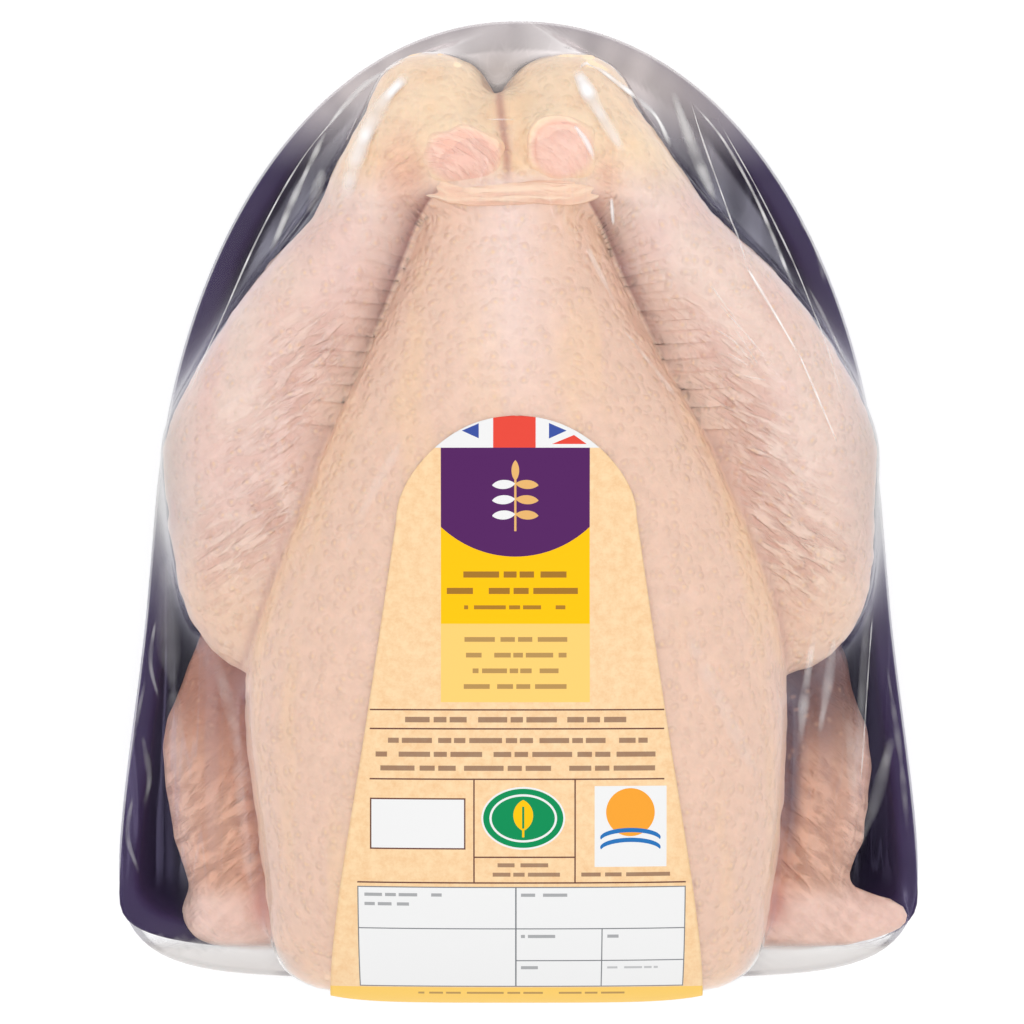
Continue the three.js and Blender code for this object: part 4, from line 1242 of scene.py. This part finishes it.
def highlight_strip(points, half_width, highlight_whiteness, seed):
    """A strip along a smooth route through the points, that narrows to both ends and lies
    on the film with a low ridge along its middle, and its haze, which paints its highlight."""
    points = np.array(points, float)
    gaps = np.linalg.norm(np.diff(points, axis=0), axis=1)
    stations = np.concatenate([[0], np.cumsum(gaps)]) / gaps.sum()
    t = np.linspace(0, 1, CREASE_STEPS)
    route = np.stack(along(np.column_stack([stations, points]), t), -1)
    heading = np.gradient(route, axis=0)
    heading /= np.linalg.norm(heading, axis=1, keepdims=True)
    sideways = np.stack([-heading[:, 1], heading[:, 0]], -1)
    u = np.linspace(-1, 1, CREASE_ACROSS)
    distance = t * gaps.sum()
    station = np.stack([distance, 0 * t + seed, 0 * t], -1)
    wobble = noise(station, (7, 1, 1), 81)
    width = half_width * (1 + 0.35 * wobble) * (0.35 + 0.65 * np.sin(np.pi * t) ** 0.6)
    flat = route[:, None] + sideways[:, None] * (u * width[:, None])[..., None]
    z = film_height(flat[..., 0], flat[..., 1]) + CREASE_LIFT + CREASE_RIDGE * (1 - u * u)
    grid = np.concatenate([flat, z[..., None]], -1)
    ends = smooth_step(t, 0, 0.12) * (1 - smooth_step(t, 0.8, 1))
    broken = 0.75 + 0.4 * noise(station, (3.5, 1, 1), 82)
    haze = highlight_whiteness * (1 - u * u) * (ends * broken)[:, None]
    return grid, np.clip(haze, 0, 1)


def sheet_faces(rows, columns):
    """Quads of an open grid of points."""
    i, j = np.meshgrid(np.arange(rows - 1), np.arange(columns - 1), indexing="ij")
    a = i * columns + j
    return np.stack([a, a + 1, a + columns + 1, a + columns], -1).reshape(-1, 4)


strips = [highlight_strip(*crease, seed) for seed, crease in enumerate(CREASE_HIGHLIGHTS)]
strip_faces = sheet_faces(CREASE_STEPS, CREASE_ACROSS)
film_crease_highlights = mesh_object(
    "film_crease_highlights", np.concatenate([grid.reshape(-1, 3) for grid, _ in strips]),
    np.concatenate([strip_faces + k * CREASE_STEPS * CREASE_ACROSS for k in range(len(strips))]))
strip_highlight = np.concatenate([haze.ravel() for _, haze in strips])
set_attribute(film_crease_highlights, "haze", strip_highlight)
set_attribute(film_crease_highlights, "tone", np.broadcast_to([1.0, 0.99, 0.99], (len(strip_highlight), 3)))
# The strips have no gloss: their light is painted in by their haze.
film_crease_highlights.data.materials.append(film_material("painted crease highlights", 0.25, 0))
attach(film_crease_highlights, "root")

# ------------------------------------------------------------------ label
# A paper label, arched at the top and flared to the neck end, which it is folded over, is
# stuck on the film. Its print is flat fields of colour, rules and plain bars.
LABEL = {"arch_top": 25.4, "arch_foot": 2, "half_arch": 32, "half_neck": 50.6, "neck": -133}
LABEL_FOLD = (-62, 52)
LABEL_NECK_ANGLE = 14
LABEL_LIFT = FILM_CLEARANCE + 0.35
LABEL_THICKNESS = 0.12


def label_half_width(y):
    """Half width at y: a superellipse arch, then straight sides that flare."""
    t = np.clip((y - LABEL["arch_foot"]) / (LABEL["arch_top"] - LABEL["arch_foot"]), 0, 1)
    arch = LABEL["half_arch"] * (1 - t ** 2.1) ** (1 / 2.1)
    share = (LABEL["arch_foot"] - y) / (LABEL["arch_foot"] - LABEL["neck"])
    flare = LABEL["half_arch"] + (LABEL["half_neck"] - LABEL["half_arch"]) * share
    return np.where(y > LABEL["arch_foot"], arch, flare)


def over_breast(x, angle, lift):
    """Points of the breast in the plane x, seen from the fold line at an angle that runs
    from the neck end up and over, lifted off along the surface's normal."""
    x, angle = np.broadcast_arrays(x, angle)
    fold_y, fold_z = (np.full(x.shape, float(value)) for value in LABEL_FOLD)
    start = np.stack([x, fold_y, fold_z], -1)
    way = np.stack([np.zeros(x.shape), -np.cos(angle), np.sin(angle)], -1)
    radius = farthest(lambda p: to_sections(BREAST, 0, p) < 0, start, way, reach=130)
    p = start + radius[..., None] * way
    e = 0.4
    normal = np.stack([to_sections(BREAST, 0, p + e * axis) - to_sections(BREAST, 0, p - e * axis)
                       for axis in np.eye(3)], -1)
    normal /= np.linalg.norm(normal, axis=-1, keepdims=True)
    return p + lift * normal


LABEL_ROWS = 260
ARCH_ROWS = 60
LABEL_COLUMNS = 110
label_middle = float(middle_line(np.array([float(LABEL_FOLD[0])]))[0])
scan = np.linspace(np.radians(LABEL_NECK_ANGLE), np.radians(150), 1200)
scan_y = over_breast(np.full(scan.shape, label_middle), scan, 0)[:, 1]
foot_angle = np.interp(LABEL["arch_foot"], scan_y, scan)
arch_rise = np.sin(np.linspace(0, 0.494 * np.pi, ARCH_ROWS + 1)[1:])
row_y = LABEL["arch_foot"] + (LABEL["arch_top"] - LABEL["arch_foot"]) * arch_rise
label_angles = np.concatenate([np.linspace(scan[0], foot_angle, LABEL_ROWS - ARCH_ROWS),
                               np.interp(row_y, scan_y, scan)])
down_middle = over_breast(np.full(label_angles.shape, label_middle), label_angles, 0)
half_widths = label_half_width(down_middle[:, 1])
label_across = np.linspace(-1, 1, LABEL_COLUMNS + 1)
label_x = label_middle + half_widths[:, None] * label_across
label_grid = over_breast(label_x, label_angles[:, None], LABEL_LIFT)
label = mesh_object("paper_label", label_grid.reshape(-1, 3), sheet_faces(*label_grid.shape[:2]))
# The label's own map: how far across from its middle and where along Y, in the print's own
# units, of which PRINT_SCALE make a millimetre, as hundredths so that the numbers stay near 1.
PRINT_SCALE = 1.0218
uv_points = np.stack([label_x - label_middle, label_grid[..., 1]], -1).reshape(-1, 2)
uv_points = uv_points * PRINT_SCALE / 100
uv_layer = label.data.uv_layers.new(name="print")
loop_points = np.zeros(len(label.data.loops), int)
label.data.loops.foreach_get("vertex_index", loop_points)
uv_layer.data.foreach_set("uv", uv_points[loop_points].ravel().astype(np.float32))
thicken = label.modifiers.new("paper", "SOLIDIFY")
thicken.thickness = LABEL_THICKNESS * 0.001
thicken.offset = 1


def mask_group(name, inputs):
    """A shader group with number inputs and one output, Mask, and its two end nodes."""
    group = bpy.data.node_groups.new(name, "ShaderNodeTree")
    for socket in inputs:
        group.interface.new_socket(socket, in_out="INPUT", socket_type="NodeSocketFloat")
    group.interface.new_socket("Mask", in_out="OUTPUT", socket_type="NodeSocketFloat")
    given, result = group.nodes.new("NodeGroupInput"), group.nodes.new("NodeGroupOutput")
    return group, given.outputs, result.inputs


def box_group():
    """Mask of a rectangle: X lies between Left and Right, and Y between Low and High."""
    group, given, result = mask_group("printed box", ("X", "Y", "Left", "Right", "Low", "High"))
    wide = maths(group, "MULTIPLY", maths(group, "GREATER_THAN", given["X"], given["Left"]),
                 maths(group, "LESS_THAN", given["X"], given["Right"]))
    high = maths(group, "MULTIPLY", maths(group, "GREATER_THAN", given["Y"], given["Low"]),
                 maths(group, "LESS_THAN", given["Y"], given["High"]))
    group.links.new(maths(group, "MULTIPLY", wide, high), result["Mask"])
    return group


def oval_group():
    """Mask of an oval: the squares of the offsets over the radii add up to under 1."""
    group, given, result = mask_group(
        "printed oval", ("X", "Y", "Middle X", "Middle Y", "Radius X", "Radius Y"))
    squares = []
    for axis in "XY":
        offset = maths(group, "SUBTRACT", given[axis], given["Middle " + axis])
        share = maths(group, "DIVIDE", offset, given["Radius " + axis])
        squares.append(maths(group, "MULTIPLY", share, share))
    total = maths(group, "ADD", *squares)
    group.links.new(maths(group, "LESS_THAN", total, 1.0), result["Mask"])
    return group


def bars_group():
    """Mask of a row of plain bars, like blocks of a dummy text line: gaps come at uneven
    steps, where a sine warps X before it is cut into lengths of Pitch."""
    group, given, result = mask_group("printed bars", ("X", "Pitch", "Shift"))
    turns = maths(group, "DIVIDE", given["X"], given["Pitch"])
    sway = maths(group, "SINE", maths(group, "MULTIPLY", turns, 2.3))
    warped = maths(group, "ADD", maths(group, "ADD", turns, given["Shift"]),
                   maths(group, "MULTIPLY", 0.32, sway))
    group.links.new(maths(group, "GREATER_THAN", maths(group, "FRACT", warped), 0.2), result["Mask"])
    return group


printed_box, printed_oval, printed_bars = box_group(), oval_group(), bars_group()
label_paper, label_tree, label_shader = new_material("printed paper")
label_uv = add_node(label_tree, "ShaderNodeUVMap", uv_map="print")
label_mm = add_node(label_tree, "ShaderNodeVectorMath",
                    {0: label_uv.outputs[0], "Scale": 100.0}, operation="SCALE")
label_axes = add_node(label_tree, "ShaderNodeSeparateXYZ", {0: label_mm.outputs[0]})
print_x, print_y = label_axes.outputs["X"], label_axes.outputs["Y"]


def printed(group, **values):
    """The mask of a print group, at the label's own place, with its values in mm."""
    node = add_node(label_tree, "ShaderNodeGroup", node_tree=group)
    label_tree.links.new(print_x, node.inputs["X"])
    if "Y" in node.inputs:
        label_tree.links.new(print_y, node.inputs["Y"])
    for name, value in values.items():
        node.inputs[name.replace("_", " ")].default_value = value
    return node.outputs["Mask"]


def box(left, right, low, high):
    """Mask of a rectangle, whose low and high edges are places along Y."""
    return printed(printed_box, Left=left, Right=right, Low=low, High=high)


def oval(x, y, radius_x, radius_y):
    """Mask of an oval round (x, y)."""
    return printed(printed_oval, Middle_X=x, Middle_Y=y, Radius_X=radius_x, Radius_Y=radius_y)


def both(first, second, operation="MULTIPLY"):
    """Mask of what two masks share, or with SUBTRACT, of the first without the second."""
    return maths(label_tree, operation, first, second, clamp=True)


def ink(paper, mask, colour, cover=1.0):
    """The paper's colour with an ink over it where the mask is."""
    return blend_colour(label_tree, both(mask, cover) if cover < 1 else mask, paper, srgb(*colour))


def slant(x, y, rise):
    """Mask of the side below a slanting line that passes (x, y) and rises by rise for each
    mm across, in the label's own mm."""
    level = maths(label_tree, "MULTIPLY_ADD", print_x, rise, y - rise * x)
    return maths(label_tree, "LESS_THAN", print_y, level)


paper_fibre = add_node(label_tree, "ShaderNodeTexNoise",
                       {"Vector": label_mm.outputs[0], "Scale": 0.35, "Detail": 7, "Roughness": 0.75})
paper_ramp = add_node(label_tree, "ShaderNodeValToRGB", {"Fac": paper_fibre.outputs["Fac"]})
paper_ramp.color_ramp.elements[0].position = 0.32
paper_ramp.color_ramp.elements[0].color = (*srgb(235, 192, 144), 1)
paper_ramp.color_ramp.elements[1].position = 0.62
paper_ramp.color_ramp.elements[1].color = (*srgb(244, 212, 168), 1)
paper = paper_ramp.outputs["Color"]

BROWN_INK, PLUM_INK, GREY_INK = (104, 66, 58), (108, 60, 46), (120, 122, 126)
PURPLE, YELLOW, PALE_YELLOW, WHITE = (82, 32, 94), (250, 192, 0), (246, 203, 112), (232, 232, 232)
RED, BLUE, GOLD, GREEN = (226, 72, 58), (58, 80, 158), (226, 176, 108), (0, 138, 82)
ORANGE, SEA_BLUE = (240, 160, 50), (38, 112, 180)

# The head of the label: a band of flag-like stripes and wedges over three coloured fields.
FIELD_LEFT, FIELD_RIGHT = -20.6, 19.9
paper = ink(paper, box(-60, 60, 17.5, 60), WHITE)
paper = ink(paper, box(-6.4, 5.2, 17.5, 60), RED)
left_wedge = both(both(slant(-14.9, 22.2, 0.44), slant(-14.9, 22.2, -0.46), "SUBTRACT"),
                  box(-16, -10.3, 17, 60))
right_wedge = both(both(slant(13.6, 22.2, -0.44), slant(13.6, 22.2, 0.46), "SUBTRACT"),
                   box(8.8, 15, 17, 60))
red_wedge = both(both(slant(15.6, 21, 0.42), slant(15.6, 21, -0.72)), box(9, 20, 18.5, 60))
for wedge, colour in ((left_wedge, BLUE), (right_wedge, BLUE), (red_wedge, RED)):
    paper = ink(paper, wedge, colour)
paper = ink(paper, box(FIELD_LEFT, FIELD_RIGHT, -30.9, 17.5), YELLOW)
paper = ink(paper, both(box(FIELD_LEFT, FIELD_RIGHT, -16, 17.5),
                        oval(-0.35, 17.5, 29.5, 30)), PURPLE)
paper = ink(paper, box(FIELD_LEFT, FIELD_RIGHT, -52.4, -30.9), PALE_YELLOW)

# A gold sprig of plain leaves, each where two ovals overlap, in pairs up a stem.
paper = ink(paper, box(-0.65, -0.05, -5.5, 9), GOLD)
for height in (-3.5, 0.7, 4.9):
    for side_of_stem in (-1, 1):
        leaf = both(oval(-0.35 + side_of_stem * 3.4, height + 3.6, 3.6, 2.4),
                    oval(-0.35 + side_of_stem * 3.0, height + 1.3, 3.6, 2.4))
        paper = ink(paper, leaf, GOLD if side_of_stem > 0 else WHITE)
paper = ink(paper, both(oval(-1.6, 11.2, 2.3, 3.4), oval(0.9, 11.2, 2.3, 3.4)), GOLD)

# Rules and the upright lines between the small panels.
for height, left, right in ((-54.5, -39.9, 40.1), (-59.7, -39.9, 40.1), (-73.5, -39.9, 40.1),
                            (-102.0, -43.3, 46.0), (-94.9, -11.6, 15.9)):
    paper = ink(paper, box(left, right, height - 0.2, height + 0.2), BROWN_INK)
for x in (-11.6, 15.9):
    paper = ink(paper, box(x - 0.2, x + 0.2, -102, -73.5), BROWN_INK)

# Panels: an empty box, an oval badge with a leaf on its stem, and a square with a disc.
paper = ink(paper, box(-39.8, -13.9, -92.8, -78.7), BROWN_INK)
paper = ink(paper, box(-39.4, -14.3, -92.4, -79.1), WHITE)
paper = ink(paper, oval(1.8, -84.2, 11.4, 8.6), WHITE)
paper = ink(paper, oval(1.8, -84.2, 10.9, 8.1), GREEN)
paper = ink(paper, both(oval(1.8, -84.2, 9.2, 6.6), oval(1.8, -84.2, 8.6, 6.0), "SUBTRACT"), WHITE)
paper = ink(paper, both(oval(0.1, -83.4, 4.4, 4.6), oval(3.5, -83.4, 4.4, 4.6)), YELLOW)
paper = ink(paper, box(1.5, 2.1, -89, -81), GREEN)
paper = ink(paper, box(1.5, 2.1, -89.4, -87), YELLOW)
paper = ink(paper, box(21.2, 40.7, -97.6, -75.4), WHITE)
paper = ink(paper, oval(30.9, -82.6, 6.6, 6.6), ORANGE)
for drop in (0, 2.7):
    wave = both(oval(30.9, -89.5 - drop, 8.2, 2.6), oval(30.9, -90.7 - drop, 8.2, 2.6), "SUBTRACT")
    paper = ink(paper, wave, SEA_BLUE)

# The ruled white table and the strip below it.
paper = ink(paper, box(-43.3, 46.0, -131.7, -103.1), GREY_INK)
for left, right, low, high in ((-43.0, -0.4, -114.7, -103.4), (0.0, 45.7, -114.7, -103.4),
                               (-43.0, -0.4, -131.4, -115.0), (0.0, 23.2, -123.8, -115.0),
                               (23.5, 45.7, -123.8, -115.0), (0.0, 23.2, -131.4, -124.1),
                               (23.5, 45.7, -131.4, -124.1)):
    paper = ink(paper, box(left, right, low, high), WHITE)
paper = ink(paper, box(-60, 60, -150, -131.9), (245, 200, 96))

# Rows of plain bars where a printed pack has its wording:
# [middle height, left, right, bar height, length of a bar, ink, cover].
BAR_ROWS = (
    (-17.4, -14.5, 13.6, 1.7, 7.0, PLUM_INK, 0.75), (-21.9, -19.0, 18.0, 1.7, 8.6, PLUM_INK, 0.75),
    (-26.4, -14.3, 13.3, 1.1, 6.4, PLUM_INK, 0.7), (-35.2, -14.2, 13.8, 1.3, 7.4, BROWN_INK, 0.6),
    (-39.5, -14.4, 13.6, 1.3, 5.6, BROWN_INK, 0.6), (-43.8, -12.0, 11.6, 1.3, 4.8, BROWN_INK, 0.6),
    (-48.1, -14.4, 13.6, 1.3, 7.6, BROWN_INK, 0.6), (-57.2, -30.3, 29.8, 1.5, 7.2, BROWN_INK, 0.72),
    (-62.9, -35.3, 35.6, 1.4, 6.2, BROWN_INK, 0.72), (-66.7, -38.3, 38.7, 1.4, 7.6, BROWN_INK, 0.72),
    (-70.5, -37.0, 37.6, 1.4, 8.2, BROWN_INK, 0.72), (-97.1, -5.2, 9.6, 1.1, 14.0, BROWN_INK, 0.7),
    (-99.7, -7.4, 11.8, 1.1, 6.5, BROWN_INK, 0.7), (-99.7, 17.6, 44.4, 1.1, 9.5, BROWN_INK, 0.72),
    (-105.4, -41.4, -20.4, 0.9, 6.2, GREY_INK, 0.7), (-108.0, -41.4, -29.3, 0.9, 7.0, GREY_INK, 0.7),
    (-105.4, 1.2, 13.8, 0.9, 6.6, GREY_INK, 0.7), (-117.0, 1.2, 10.6, 0.9, 5.2, GREY_INK, 0.7),
    (-117.0, 24.8, 28.2, 0.9, 6.0, GREY_INK, 0.7), (-126.0, 1.2, 7.8, 0.9, 9.0, GREY_INK, 0.7),
    (-126.0, 24.8, 38.8, 0.6, 4.4, GREY_INK, 0.5), (-133.6, -27.2, 29.9, 0.6, 7.4, BROWN_INK, 0.6),
)
for shift, (height, left, right, tall, pitch, colour, cover) in enumerate(BAR_ROWS):
    row = box(left, right, height - tall / 2, height + tall / 2)
    words = printed(printed_bars, Pitch=pitch, Shift=0.37 * shift)
    paper = ink(paper, both(row, words), colour, cover)
label_tree.links.new(paper, label_shader.inputs["Base Color"])
label_shader.inputs["Roughness"].default_value = 0.55
label_shader.inputs["Specular IOR Level"].default_value = 0.12
label.data.materials.append(label_paper)
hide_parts("label")
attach(label, "root")
